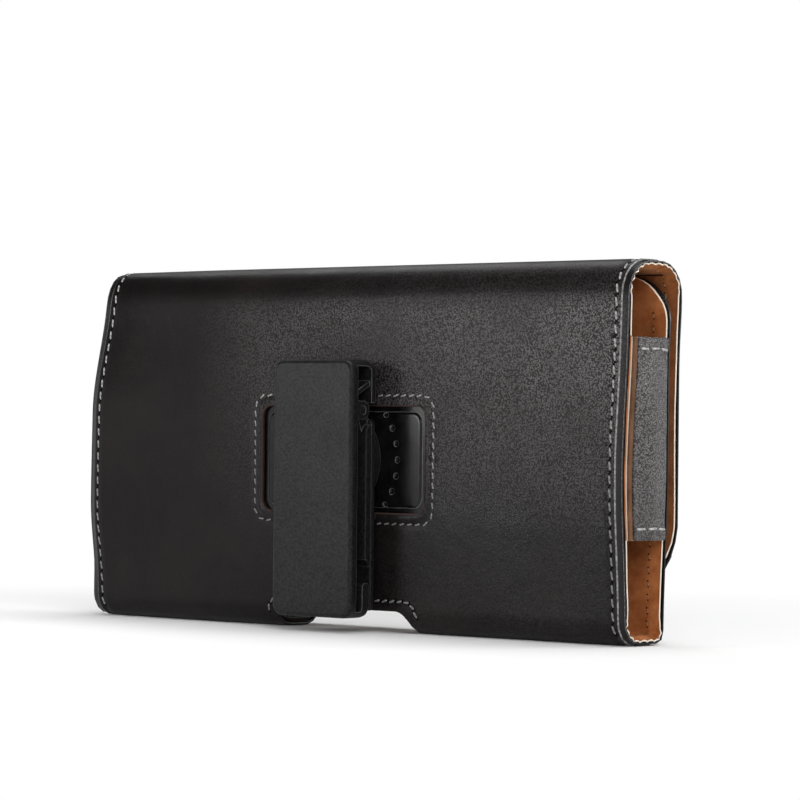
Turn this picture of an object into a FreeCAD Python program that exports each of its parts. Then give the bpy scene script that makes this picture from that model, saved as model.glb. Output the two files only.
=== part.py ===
"""Phone belt holster: a folded leather pouch with a flap and a turning spring clip.

Sizes are in millimetres. X runs along the pouch, +Y points to the flap and the
clip is on the -Y side. The part stands on its bottom fold, at z = 0.
The shapes are drawn with the back panel's outer face at y = 0 and are moved
along Y at the end, so that the origin is in the middle of the part's footprint.
"""
import FreeCAD, Part
import math
import os

from FreeCAD import Vector

# Pouch, outside sizes
pouch_length = 173.0
pouch_height = 88.3
wall_y = 14.9
flap_y = 20.0
back_fold_radius = 5.5
front_fold_radius = 3.0
top_back_radius = 8.5
top_front_radius = 7.5
wall_top = 84.5
wall_corner_radius = 12.0
flap_low = 8.6
flap_corner_radius = 20.0

# Layers of the sheet, from the outside in
leather = 0.8
board = 0.8
lining = 0.6
layer_setback = 0.4

# Thumb notch through the bottom fold
notch_width = 43.0
notch_height = 5.2
notch_radius = 4.5

# Window for the clip plate
window_width = 52.4
window_height = 25.4
window_radius = 2.6
window_z = 41.4
window_stitch_margin = 2.6

# Clip plate in the window
plate_edge_gap = 1.0
plate_flange = 3.2
plate_pad_recess = 0.4
plate_pad_wall = 0.5
plate_corner_radius = 3.0
plate_edge_radius = 1.1
detent_circle_radius = 17.4
detents_in_quarter = 7
detents_each_way = 3
detent_radius = 0.75
detent_depth = 0.35

# Turning joint of the clip
hub_disc_radius = 12.2
hub_face_gap = 0.1
stem_radius = 4.0
stem_bore_clearance = 0.05
stem_head_radius = 5.5
stem_head_gap = 0.05
ring_bore_clearance = 0.1
ring_radius = 8.4
ring_thickness = 0.3
ring_gap = 0.05
ring_recess_clearance = 0.3

# Clip body
clip_width = 25.6
hub_rise = 2.4
frame_thickness = 1.4
frame_low = 5.3
frame_top = 51.0
frame_corner_radius = 1.5
frame_edge_radius = 0.35
frame_foot_height = 7.4
frame_foot_thickness = 0.7
pad_thickness = 1.9
pad_low = 16.0
pad_top = 49.7
pad_chamfer = 1.6
pad_round = 1.7
pad_edge_radius = 0.3
nub_post_radius = 1.1
nub_steps = 4
nub_leather_gap = 0.6

# Lever of the clip
belt_gap = 3.0
lever_wall = 1.4
lever_side_wall = 1.3
lever_skirt = 2.3
lever_low = 3.6
lever_top = 65.2
lever_corner_radius = 3.1
lever_edge_radius = 1.1
loop_wall = 1.5
loop_corner_radius = 2.6
loop_end = 55.0
web_thickness = 1.1
web_low = 56.8
web_high = 60.6
hook_top = 12.1
hook_floor = 1.5
hook_thickness = 2.3
hook_clearance = 0.5

# Hinge of the lever
pin_radius = 1.0
pin_clearance = 0.05
pin_over_pad = 1.2
pin_z = 53.2
pin_end_recess = 0.1
ear_root_height = 4.0
ear_radius = 2.1
ear_thickness = 2.2
ear_side_gap = 0.2
lug_radius = 2.2
spring_wire = 0.7
spring_pitch = 1.0
spring_coil_gap = 0.3
spring_end_gap = 1.0
spring_lever_leg = 2.3
spring_frame_leg = 3.4

# Gusset straps at the ends
gusset_low = 24.0
gusset_high = 70.3
gusset_leather = 0.8
gusset_lining = 0.8
gusset_flange = 1.6
gusset_flange_depth = 6.0
gusset_flange_proud = 0.4
gusset_hem = 2.6

# Magnets in the flap and the front wall
magnet_radius = 6.0
magnet_x = 45.0
magnet_z = 27.0

# Stitches
stitch_pitch = 3.6
stitch_length = 2.8
stitch_width = 0.7
stitch_height = 0.35
stitch_lift = 0.02
stitch_slant_deg = 8.0
edge_stitch_inset = 3.4
gusset_stitch_margin = 0.5
notch_stitch_margin = 2.4
notch_stitch_radius = 4.0

# How far a cutter passes beyond what it cuts
cut_over = 1.0

# Values worked out from the sizes above
arc_middle = math.cos(math.radians(45))
detent_step_deg = 90 / detents_in_quarter
half_length = pouch_length / 2
sheet = leather + board + lining
fold_z = pouch_height - top_back_radius
frame_back_y = -hub_rise
frame_front_y = frame_back_y - frame_thickness
pad_front_y = frame_front_y - pad_thickness
skirt_y = pad_front_y - belt_gap
lever_front_y = skirt_y - lever_skirt
lever_inside_y = lever_front_y + lever_wall
pin_y = pad_front_y - pin_over_pad
plate_inner_y = leather + board
pad_face_y = plate_pad_recess
plate_pad_back_y = pad_face_y + plate_pad_wall
footprint_middle_y = (lever_front_y + flap_y + stitch_lift + stitch_height) / 2


def save(name, shape):
    """Move a finished shape to the part's frame and write it as parts/NAME.step."""
    moved = shape.copy()
    moved.translate(Vector(0, -footprint_middle_y, 0))
    moved.exportStep("parts/" + name + ".step")


def fuse_all(shapes):
    """Join shapes into one clean solid."""
    whole = shapes[0].multiFuse(shapes[1:]) if len(shapes) > 1 else shapes[0]
    return whole.removeSplitter()


def box(x0, x1, y0, y1, z0, z1):
    """A box between two corners."""
    return Part.makeBox(x1 - x0, y1 - y0, z1 - z0, Vector(x0, y0, z0))


def rod_y(radius, y0, y1, x, z):
    """A round rod along Y."""
    return Part.makeCylinder(radius, y1 - y0, Vector(x, y0, z), Vector(0, 1, 0))


def rod_x(radius, x0, x1, y, z):
    """A round rod along X."""
    return Part.makeCylinder(radius, x1 - x0, Vector(x0, y, z), Vector(1, 0, 0))


def edges_along(shape, axis):
    """The straight edges of a shape that run along one axis."""
    found = []
    for edge in shape.Edges:
        if edge.Curve.TypeId == "Part::GeomLine":
            run = edge.Vertexes[-1].Point - edge.Vertexes[0].Point
            if abs(abs(run.normalize().dot(axis)) - 1) < 1e-6:
                found.append(edge)
    return found


def rounded_slab(width, height, radius, y0, y1, z):
    """A slab facing Y with rounded corners, centred on x = 0 and on z."""
    slab = box(-width / 2, width / 2, y0, y1, z - height / 2, z + height / 2)
    return slab.makeFillet(radius, edges_along(slab, Vector(0, 1, 0)))


def outline_edges(steps):
    """Edges in the YZ plane: each step is a point, or a midpoint and an end of an arc."""
    edges = []
    here = Vector(0, *steps[0])
    for step in steps[1:]:
        end = Vector(0, *step[-2:])
        if len(step) == 4:
            edges.append(Part.Arc(here, Vector(0, *step[:2]), end).toShape())
        else:
            edges.append(Part.LineSegment(here, end).toShape())
        here = end
    return edges


def extruded(steps, x0, x1):
    """A solid along X from a closed outline in the YZ plane."""
    face = Part.Face(Part.Wire(outline_edges(steps + [steps[0]])))
    solid = face.extrude(Vector(x1 - x0, 0, 0))
    solid.translate(Vector(x0, 0, 0))
    return solid


def wrap_path(depth):
    """The back panel, bottom fold and front wall, at a depth inside the outer face."""
    back, front = back_fold_radius, front_fold_radius
    return [
        (depth, fold_z),
        (depth, back),
        (back - (back - depth) * arc_middle, back - (back - depth) * arc_middle, back, depth),
        (wall_y - front, depth),
        (wall_y - front + (front - depth) * arc_middle, front - (front - depth) * arc_middle,
         wall_y - depth, front),
        (wall_y - depth, wall_top),
    ]


def flap_path(depth):
    """The top fold and the flap's front panel, at a depth inside the outer face."""
    back, front = top_back_radius, top_front_radius
    return [
        (depth, fold_z),
        (back - (back - depth) * arc_middle, fold_z + (back - depth) * arc_middle,
         back, pouch_height - depth),
        (flap_y - front, pouch_height - depth),
        (flap_y - front + (front - depth) * arc_middle,
         pouch_height - front + (front - depth) * arc_middle,
         flap_y - depth, pouch_height - front),
        (flap_y - depth, flap_low),
    ]


def band(path, outer_depth, inner_depth, half_width):
    """One layer of the folded sheet, between two depths."""
    outer = outline_edges(path(outer_depth))
    inner = outline_edges(path(inner_depth))
    ends = [
        Part.LineSegment(outer[-1].Vertexes[-1].Point, inner[-1].Vertexes[-1].Point).toShape(),
        Part.LineSegment(inner[0].Vertexes[0].Point, outer[0].Vertexes[0].Point).toShape(),
    ]
    wire = Part.Wire(Part.__sortEdges__(outer + inner + ends))
    solid = Part.Face(wire).extrude(Vector(2 * half_width, 0, 0))
    solid.translate(Vector(-half_width, 0, 0))
    return solid


def corner_cutters(half_width, radius, z, up, y0, y1):
    """What is cut away to round the two corners of a panel that faces Y."""
    cutters = []
    for side in (-1, 1):
        centre_x = side * (half_width - radius)
        centre_z = z - up * radius
        x0, x1 = sorted((centre_x, side * (half_width + cut_over)))
        z0, z1 = sorted((centre_z, z + up * cut_over))
        square = box(x0, x1, y0, y1, z0, z1)
        cutters.append(square.cut(rod_y(radius, y0, y1, centre_x, centre_z)))
    return cutters


def notch_cutter():
    """The thumb notch, cut across the bottom fold."""
    height = 2 * notch_height
    return rounded_slab(notch_width, height, notch_radius, -cut_over, wall_y + cut_over, 0)


def wrap_layer(outer_depth, inner_depth, half_width):
    """A layer of the pouch sheet, with its rounded wall corners and its notch."""
    layer = band(wrap_path, outer_depth, inner_depth, half_width)
    corners = corner_cutters(half_width, wall_corner_radius, wall_top, 1,
                             wall_y - sheet - cut_over, wall_y + cut_over)
    return layer.cut(Part.makeCompound(corners + [notch_cutter()]))


def flap_layer(outer_depth, inner_depth, half_width):
    """A layer of the flap, with its rounded lower corners."""
    layer = band(flap_path, outer_depth, inner_depth, half_width)
    corners = corner_cutters(half_width, flap_corner_radius, flap_low, -1,
                             flap_y - sheet - cut_over, flap_y + cut_over)
    return layer.cut(Part.makeCompound(corners))


def magnet_discs(y0, y1):
    """A pair of magnet discs between two depths."""
    return [rod_y(magnet_radius, y0, y1, side * magnet_x, magnet_z) for side in (-1, 1)]


def plate_flange_slab():
    """The flange of the clip plate, which lies under the leather."""
    return rounded_slab(window_width + 2 * plate_flange, window_height + 2 * plate_flange,
                        window_radius + plate_flange, leather, plate_inner_y, window_z)


def make_pouch():
    """The outer sheet, its board and its lining."""
    outer = wrap_layer(0, leather, half_length)
    window = rounded_slab(window_width, window_height, window_radius, -cut_over, sheet, window_z)
    save("outer_wrap", outer.cut(window))

    inner_half = half_length - layer_setback
    stiffener = wrap_layer(leather, leather + board, inner_half)
    wall_discs = magnet_discs(wall_y - leather - board, wall_y - leather)
    save("wrap_board", stiffener.cut(Part.makeCompound(wall_discs + [plate_flange_slab()])))
    save("wall_magnets", Part.makeCompound(wall_discs))
    save("wrap_lining", wrap_layer(leather + board, sheet, inner_half))


def make_flap():
    """The flap's sheet, board, lining and magnets."""
    inner_half = half_length - layer_setback
    save("flap_leather", flap_layer(0, leather, half_length))
    flap_discs = magnet_discs(flap_y - leather - board, flap_y - leather)
    stiffener = flap_layer(leather, leather + board, inner_half)
    save("flap_board", stiffener.cut(Part.makeCompound(flap_discs)))
    save("flap_magnets", Part.makeCompound(flap_discs))
    save("flap_lining", flap_layer(leather + board, sheet, inner_half))


def make_gusset(side):
    """One end strap with its lining; side is 1 at the right end and -1 at the left."""
    name = "right_gusset" if side > 0 else "left_gusset"
    strap_y = sheet + gusset_flange
    x0, x1 = sorted((side * half_length, side * (half_length + gusset_leather)))
    save(name, box(x0, x1, strap_y, wall_y, gusset_low, gusset_high))

    x0, x1 = sorted((side * (half_length - gusset_lining), side * half_length))
    backing = box(x0, x1, sheet, wall_y - sheet, gusset_low, gusset_high)
    x0, x1 = sorted((side * (half_length - gusset_flange_depth),
                     side * (half_length + gusset_flange_proud)))
    flange = box(x0, x1, sheet, strap_y, gusset_low, gusset_high)
    save(name + "_lining", fuse_all([backing, flange]))


def detent_places():
    """Where the detent dimples are on the plate, as x and z from the hub."""
    places = []
    for side in (-1, 1):
        for step in range(-detents_each_way, detents_each_way + 1):
            angle = math.radians(step * detent_step_deg)
            places.append((side * detent_circle_radius * math.cos(angle),
                           detent_circle_radius * math.sin(angle)))
    return places


def dimple(x, z):
    """The ball that presses one dimple into the plate."""
    ball_radius = (detent_radius ** 2 + detent_depth ** 2) / (2 * detent_depth)
    return Part.makeSphere(ball_radius, Vector(x, pad_face_y + detent_depth - ball_radius,
                                               window_z + z))


def make_plate():
    """The moulded plate in the window, with its bore, dimples and ring recess."""
    pad = rounded_slab(window_width - 2 * plate_edge_gap, window_height - 2 * plate_edge_gap,
                       plate_corner_radius, pad_face_y, plate_inner_y, window_z)
    rim = [edge for edge in pad.Edges if edge.BoundBox.YMax < pad_face_y + 1e-6]
    pad = pad.makeFillet(plate_edge_radius, rim)
    recess = rod_y(ring_radius + ring_recess_clearance, plate_pad_back_y, plate_inner_y + cut_over,
                   0, window_z)
    bore = rod_y(stem_radius + stem_bore_clearance, pad_face_y - cut_over,
                 plate_inner_y + cut_over, 0, window_z)
    cuts = [recess, bore] + [dimple(x, z) for x, z in detent_places()]
    save("swivel_plate", fuse_all([plate_flange_slab(), pad]).cut(Part.makeCompound(cuts)))


def detent_nub(side):
    """A post with a round tip that passes over the plate's dimples, clear of the leather."""
    angle = math.radians(nub_steps * detent_step_deg)
    x = side * detent_circle_radius * math.cos(angle)
    z = window_z - detent_circle_radius * math.sin(angle)
    tip_y = -nub_leather_gap
    post = rod_y(nub_post_radius, frame_back_y, tip_y - nub_post_radius / 2, x, z)
    tip = Part.makeSphere(nub_post_radius, Vector(x, tip_y - nub_post_radius, z))
    return post.fuse(tip)


def make_hub():
    """The hub disc and the stem that holds the clip in the plate."""
    disc = rod_y(hub_disc_radius, frame_back_y, pad_face_y - hub_face_gap, 0, window_z)
    head_y = plate_pad_back_y + ring_gap + ring_thickness + stem_head_gap
    stem = rod_y(stem_radius, frame_back_y, head_y, 0, window_z)
    head = rod_y(stem_head_radius, head_y, plate_inner_y - stem_head_gap, 0, window_z)
    return [disc, stem, head]


def make_ear(side):
    """One hinge ear that reaches from the frame to the pin."""
    outer = clip_width / 2 - lever_side_wall - ear_side_gap
    x0, x1 = sorted((side * outer, side * (outer - ear_thickness)))
    root = extruded([(frame_back_y - frame_thickness / 2, frame_top - ear_root_height),
                     (frame_back_y - frame_thickness / 2, frame_top),
                     (pin_y, pin_z + ear_radius),
                     (pin_y, pin_z - ear_radius),
                     (pad_front_y, pad_top - pad_round)], x0, x1)
    return fuse_all([root, rod_x(ear_radius, x0, x1, pin_y, pin_z)])


def belt_pad():
    """The raised block that the belt bears on."""
    steps = [
        (frame_front_y, pad_low),
        (frame_front_y, pad_top),
        (pad_front_y + pad_round, pad_top),
        (pad_front_y + pad_round * (1 - arc_middle),
         pad_top - pad_round * (1 - arc_middle),
         pad_front_y, pad_top - pad_round),
        (pad_front_y, pad_low + pad_chamfer),
    ]
    pad = extruded(steps, -clip_width / 2, clip_width / 2)
    ends = [edge for edge in pad.Edges
            if edge.BoundBox.XLength < 1e-6 and edge.BoundBox.YMin < frame_front_y - 1e-6]
    return pad.makeFillet(pad_edge_radius, ends)


def make_clip_body():
    """Frame, foot, belt pad, ears, hub and detent nubs in one moulding."""
    frame = rounded_slab(clip_width, frame_top - frame_low, frame_corner_radius,
                         frame_front_y, frame_back_y, (frame_top + frame_low) / 2)
    rims = [edge for edge in frame.Edges if edge.BoundBox.YLength < 1e-6]
    frame = frame.makeFillet(frame_edge_radius, rims)
    foot = box(-clip_width / 2 + frame_corner_radius, clip_width / 2 - frame_corner_radius,
               frame_back_y, frame_back_y + frame_foot_thickness,
               frame_low, frame_low + frame_foot_height)
    pieces = [frame, foot, belt_pad()] + make_hub()
    pieces += [make_ear(side) for side in (-1, 1)]
    pieces += [detent_nub(side) for side in (-1, 1)]
    bore = rod_x(pin_radius + pin_clearance, -clip_width, clip_width, pin_y, pin_z)
    save("clip_body", fuse_all(pieces).cut(bore))


def make_retaining_ring():
    """The ring behind the plate, held by the head of the stem."""
    y0 = plate_pad_back_y + ring_gap
    ring = rod_y(ring_radius, y0, y0 + ring_thickness, 0, window_z)
    bore = rod_y(stem_radius + ring_bore_clearance, y0 - cut_over,
                 y0 + ring_thickness + cut_over, 0, window_z)
    save("retaining_ring", ring.cut(bore))


def lever_shell():
    """The lever's front, with rounded corners and skirts on both sides."""
    height = lever_top - lever_low
    middle = (lever_top + lever_low) / 2
    shell = rounded_slab(clip_width, height, lever_corner_radius, lever_front_y, skirt_y, middle)
    rim = [edge for edge in shell.Edges if edge.BoundBox.YMax < lever_front_y + 1e-6]
    shell = shell.makeFillet(lever_edge_radius, rim)
    hollow = box(-clip_width / 2 + lever_side_wall, clip_width / 2 - lever_side_wall,
                 lever_inside_y, skirt_y + cut_over, lever_low + hook_floor, lever_top - loop_wall)
    return shell.cut(hollow)


def thumb_loop():
    """The loop at the lever's top, with the slanted web inside it."""
    inner_radius = loop_corner_radius - loop_wall
    back_y = frame_back_y
    start_y = lever_front_y + lever_skirt / 2
    steps = [
        (start_y, lever_top),
        (back_y - loop_corner_radius, lever_top),
        (back_y - loop_corner_radius * (1 - arc_middle), lever_top - loop_corner_radius * (1 - arc_middle),
         back_y, lever_top - loop_corner_radius),
        (back_y, loop_end),
        (back_y - loop_wall, loop_end),
        (back_y - loop_wall, lever_top - loop_corner_radius),
        (back_y - loop_wall - inner_radius * (1 - arc_middle),
         lever_top - loop_wall - inner_radius * (1 - arc_middle),
         back_y - loop_corner_radius, lever_top - loop_wall),
        (start_y, lever_top - loop_wall),
    ]
    loop = extruded(steps, -clip_width / 2, clip_width / 2)
    corner_x = clip_width / 2 - lever_corner_radius
    corner_z = lever_top - lever_corner_radius
    for side in (-1, 1):
        x0, x1 = sorted((side * corner_x, side * (clip_width / 2 + cut_over)))
        square = box(x0, x1, start_y, back_y + cut_over, corner_z, lever_top + cut_over)
        loop = loop.cut(square.cut(rod_y(lever_corner_radius, start_y, back_y + cut_over,
                                         side * corner_x, corner_z)))
    web_front_y = lever_inside_y - lever_wall / 2
    web_back_y = back_y - loop_wall / 2
    slope = math.atan2(web_high - web_low, web_back_y - web_front_y)
    drop = web_thickness / math.cos(slope)
    web = extruded([(web_front_y, web_low), (web_back_y, web_high),
                    (web_back_y, web_high - drop), (web_front_y, web_low - drop)],
                   -clip_width / 2 + lever_side_wall / 2, clip_width / 2 - lever_side_wall / 2)
    return [loop, web]


def hinge_lug(side):
    """The lug that carries one end of the hinge pin on the lever."""
    x0, x1 = sorted((side * clip_width / 2, side * (clip_width / 2 - lever_side_wall)))
    arm = box(x0, x1, lever_inside_y, pin_y, pin_z - lug_radius, pin_z + lug_radius)
    return [arm, rod_x(lug_radius, x0, x1, pin_y, pin_z)]


def foot_hook():
    """The hooked foot that stops the belt from sliding out."""
    back_y = frame_front_y - hook_clearance
    front_y = back_y - hook_thickness
    radius = hook_thickness / 2
    steps = [
        (lever_inside_y, lever_low),
        (back_y - radius, lever_low),
        (back_y - radius * (1 - arc_middle), lever_low + radius * (1 - arc_middle),
         back_y, lever_low + radius),
        (back_y, hook_top - radius),
        ((front_y + back_y) / 2, hook_top, front_y, hook_top - radius),
        (front_y, lever_low + hook_floor),
        (lever_inside_y, lever_low + hook_floor),
    ]
    hook = extruded(steps, -clip_width / 2, clip_width / 2)
    outline = rounded_slab(clip_width, lever_top - lever_low, lever_corner_radius,
                           lever_front_y, frame_back_y, (lever_top + lever_low) / 2)
    return hook.common(outline)


def make_clip_lever():
    """The lever: shell, thumb loop, web, hinge lugs and hooked foot in one moulding."""
    pieces = [lever_shell(), foot_hook()] + thumb_loop()
    for side in (-1, 1):
        pieces += hinge_lug(side)
    bore = rod_x(pin_radius + pin_clearance, -clip_width, clip_width, pin_y, pin_z)
    save("clip_lever", fuse_all(pieces).cut(bore))


def make_hinge_pin():
    """The steel pin through the ears and the lever's lugs."""
    half = clip_width / 2 - pin_end_recess
    save("hinge_pin", rod_x(pin_radius, -half, half, pin_y, pin_z))


def make_torsion_spring():
    """The coil round the pin, with one leg on the frame and one behind the lever."""
    wire_radius = spring_wire / 2
    coil_radius = pin_radius + spring_coil_gap + wire_radius
    half = clip_width / 2 - lever_side_wall - ear_side_gap - ear_thickness - spring_end_gap
    turns = int(2 * half / spring_pitch) + 0.25
    helix = Part.makeHelix(spring_pitch, turns * spring_pitch, coil_radius).Edges[0]
    start, end = helix.valueAt(helix.FirstParameter), helix.valueAt(helix.LastParameter)
    start_run = helix.tangentAt(helix.FirstParameter)
    end_run = helix.tangentAt(helix.LastParameter)
    first_leg = Part.makeLine(start - start_run * spring_lever_leg, start)
    last_leg = Part.makeLine(end, end + end_run * spring_frame_leg)
    tip = start - start_run * spring_lever_leg
    profile = Part.Wire(Part.makeCircle(wire_radius, tip, start_run))
    spring = Part.Wire([first_leg, helix, last_leg]).makePipeShell([profile], True, False)
    spring.rotate(Vector(0, 0, 0), Vector(0, 1, 0), 90)
    spring.rotate(Vector(0, 0, 0), Vector(1, 0, 0), -90)
    spring.translate(Vector(-turns * spring_pitch / 2, pin_y, pin_z))
    save("torsion_spring", spring)


def stitch(place, along, normal):
    """One stitch: a short bar that lies on the surface, turned a little."""
    slanted = FreeCAD.Rotation(normal, stitch_slant_deg).multVec(along)
    bar = box(-stitch_length / 2, stitch_length / 2, -stitch_width / 2, stitch_width / 2,
              stitch_lift, stitch_lift + stitch_height)
    turn = FreeCAD.Rotation(slanted, normal.cross(slanted), normal, "ZXY")
    bar.Placement = FreeCAD.Placement(place, turn)
    return bar


def evenly(length, pitch=stitch_pitch):
    """Distances of evenly spread stitch centres along a run."""
    count = max(1, int(length / pitch))
    return [(index + 0.5) * length / count for index in range(count)]


def straight_row(start, end, normal):
    """A row of stitches between two points on a flat face."""
    run = end - start
    length = run.Length
    along = run.normalize()
    return [stitch(start + along * place, along, normal) for place in evenly(length)]


def path_row(path, x, skip_start, skip_end, turn):
    """A row of stitches that follows a folded sheet; none stands out under the fold."""
    edges = outline_edges(path(0))
    total = sum(edge.Length for edge in edges)
    bars = []
    for place in evenly(total - skip_start - skip_end):
        left = place + skip_start
        here = Vector(0, *path(0)[0])
        for edge in edges:
            forward = (edge.Vertexes[0].Point - here).Length < 1e-6
            if left <= edge.Length:
                at = left if forward else edge.Length - left
                parameter = edge.getParameterByLength(at)
                point = edge.valueAt(parameter)
                along = edge.tangentAt(parameter) * (1 if forward else -1)
                normal = Vector(turn, 0, 0).cross(along)
                if point.z > stitch_length:
                    bars.append(stitch(Vector(x, point.y, point.z), along, normal))
                break
            left -= edge.Length
            here = edge.Vertexes[-1].Point if forward else edge.Vertexes[0].Point
    return bars


def make_edge_stitching():
    """Stitches along both ends of the back panel, the fold and the front wall."""
    for name, side in (("left_edge_stitching", -1), ("right_edge_stitching", 1)):
        row = path_row(wrap_path, side * (half_length - edge_stitch_inset),
                       stitch_pitch / 4, wall_corner_radius - edge_stitch_inset, -1)
        save(name, Part.makeCompound(row))


def corner_row(centre_x, centre_z, radius, start_deg, y, normal):
    """Stitches round a quarter circle on a panel that faces Y."""
    bars = []
    for place in evenly(radius * math.pi / 2):
        angle = math.radians(start_deg) + place / radius
        point = Vector(centre_x + radius * math.cos(angle), y,
                       centre_z + radius * math.sin(angle))
        bars.append(stitch(point, Vector(-math.sin(angle), 0, math.cos(angle)), normal))
    return bars


def make_window_stitching():
    """The stitched frame round the window."""
    normal = Vector(0, -1, 0)
    half_w = window_width / 2 + window_stitch_margin
    half_h = window_height / 2 + window_stitch_margin
    radius = window_radius
    bars = []
    for sign in (-1, 1):
        z = window_z + sign * half_h
        bars += straight_row(Vector(-half_w + radius, 0, z), Vector(half_w - radius, 0, z), normal)
        x = sign * half_w
        bars += straight_row(Vector(x, 0, window_z - half_h + radius),
                             Vector(x, 0, window_z + half_h - radius), normal)
    for index, (sx, sz) in enumerate(((1, 1), (-1, 1), (-1, -1), (1, -1))):
        bars += corner_row(sx * (half_w - radius), window_z + sz * (half_h - radius), radius,
                           90 * index, 0, normal)
    save("window_stitching", Part.makeCompound(bars))


def make_notch_stitching():
    """Stitches that follow the top of the thumb notch on the back panel."""
    normal = Vector(0, -1, 0)
    half = notch_width / 2 + notch_stitch_margin
    z = notch_height + notch_stitch_margin
    radius = notch_stitch_radius
    bars = straight_row(Vector(-half + radius, 0, z), Vector(half - radius, 0, z), normal)
    bars += corner_row(half - radius, z - radius, radius, 0, 0, normal)
    bars += corner_row(-half + radius, z - radius, radius, 90, 0, normal)
    save("notch_stitching", Part.makeCompound(bars))


def make_gusset_stitching():
    """Two hem rows across each end strap."""
    bars = []
    for side in (-1, 1):
        x = side * (half_length + gusset_leather)
        for z in (gusset_low + gusset_hem, gusset_high - gusset_hem):
            start = Vector(x, sheet + gusset_flange + gusset_stitch_margin, z)
            end = Vector(x, wall_y - gusset_stitch_margin, z)
            bars += straight_row(start, end, Vector(side, 0, 0))
    save("gusset_stitching", Part.makeCompound(bars))


def make_flap_stitching():
    """Stitches round the flap, over the top fold, down the sides and along its edge."""
    normal = Vector(0, 1, 0)
    x_row = half_length - edge_stitch_inset
    z_row = flap_low + edge_stitch_inset
    radius = flap_corner_radius - edge_stitch_inset
    bars = []
    for side in (-1, 1):
        bars += path_row(flap_path, side * x_row, stitch_pitch / 4, flap_corner_radius, 1)
    bars += straight_row(Vector(-x_row + radius, flap_y, z_row),
                         Vector(x_row - radius, flap_y, z_row), normal)
    bars += corner_row(x_row - radius, z_row + radius, radius, 270, flap_y, normal)
    bars += corner_row(-x_row + radius, z_row + radius, radius, 180, flap_y, normal)
    save("flap_stitching", Part.makeCompound(bars))


def main():
    """Build every piece."""
    os.makedirs("parts", exist_ok=True)
    make_pouch()
    make_flap()
    for side in (-1, 1):
        make_gusset(side)
    make_plate()
    make_clip_body()
    make_retaining_ring()
    make_clip_lever()
    make_hinge_pin()
    make_torsion_spring()
    make_edge_stitching()
    make_window_stitching()
    make_notch_stitching()
    make_gusset_stitching()
    make_flap_stitching()


main()
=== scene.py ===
"""Looks of the phone belt holster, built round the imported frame.

The leather, board, lining, straps and thread are cut flat, shaped, and then folded along
the sheet's own fold line. The clip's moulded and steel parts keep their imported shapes.
Shapes are drawn in millimetres with the back panel's outer face at y = 0, and are moved
to the part's frame, in metres, when they are finished.
"""
import logging
import math
from dataclasses import dataclass, field
from enum import Enum
from typing import Callable, Iterable, Optional

import bmesh
import bpy
from mathutils import Matrix, Vector, noise


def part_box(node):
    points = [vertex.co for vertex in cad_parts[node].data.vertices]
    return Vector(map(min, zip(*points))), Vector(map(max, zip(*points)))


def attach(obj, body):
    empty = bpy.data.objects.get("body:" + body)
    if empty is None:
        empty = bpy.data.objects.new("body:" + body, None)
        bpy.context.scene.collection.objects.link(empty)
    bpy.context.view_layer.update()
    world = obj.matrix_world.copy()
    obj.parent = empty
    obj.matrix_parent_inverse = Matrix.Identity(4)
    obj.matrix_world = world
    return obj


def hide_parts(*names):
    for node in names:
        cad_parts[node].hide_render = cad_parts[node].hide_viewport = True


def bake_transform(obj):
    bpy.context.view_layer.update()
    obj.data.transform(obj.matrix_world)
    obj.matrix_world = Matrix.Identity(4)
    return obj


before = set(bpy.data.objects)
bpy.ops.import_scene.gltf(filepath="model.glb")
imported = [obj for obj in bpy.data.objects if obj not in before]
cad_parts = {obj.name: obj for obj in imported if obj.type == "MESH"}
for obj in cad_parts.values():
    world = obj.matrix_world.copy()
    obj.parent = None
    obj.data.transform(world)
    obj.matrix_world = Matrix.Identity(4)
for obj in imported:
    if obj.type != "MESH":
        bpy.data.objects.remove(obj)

LOG = logging.getLogger("holster")
METRES = 0.001
FLAT_ENOUGH = 0.98
THREAD_SHARP_DEG = 80.0
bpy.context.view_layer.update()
Span = tuple[float, float]


class Body(str, Enum):
    """The bodies that pieces ride on."""

    POUCH = "pouch"
    FLAP = "flap"


class Slot(str, Enum):
    """The record's material slots."""

    LEATHER = "black_leather"
    LINING = "tan_lining"
    BOARD = "leather_board"
    THREAD = "grey_thread"
    PLASTIC = "clip_plastic"
    PLATE = "gloss_plate"
    STEEL = "spring_steel"
    MAGNET = "magnet_metal"


def smoothstep(low: float, high: float, value: float) -> float:
    """A smooth step from 0 at low to 1 at high."""
    share = min(1.0, max(0.0, (value - low) / (high - low)))
    return share * share * (3 - 2 * share)


def hump(distance: float, width: float) -> float:
    """A bell of height 1 that falls off over a width."""
    return math.exp(-((distance / width) ** 2))


def plump(along: float) -> float:
    """A place along a ball, from -1 to 1, moved out to make a plump bar of it."""
    return math.copysign(abs(along) ** 0.62, along)


def drift(seed: float, place: float, size: float) -> float:
    """A slow random wander between about -1 and 1.

    Args:
        seed: Which wander it is.
        place: Where along it, in millimetres.
        size: The length of one wave, in millimetres.

    Returns:
        The wander's value.
    """
    return noise.noise(Vector((place / size, seed * 7.31, seed * 3.17))) * 1.6


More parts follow.
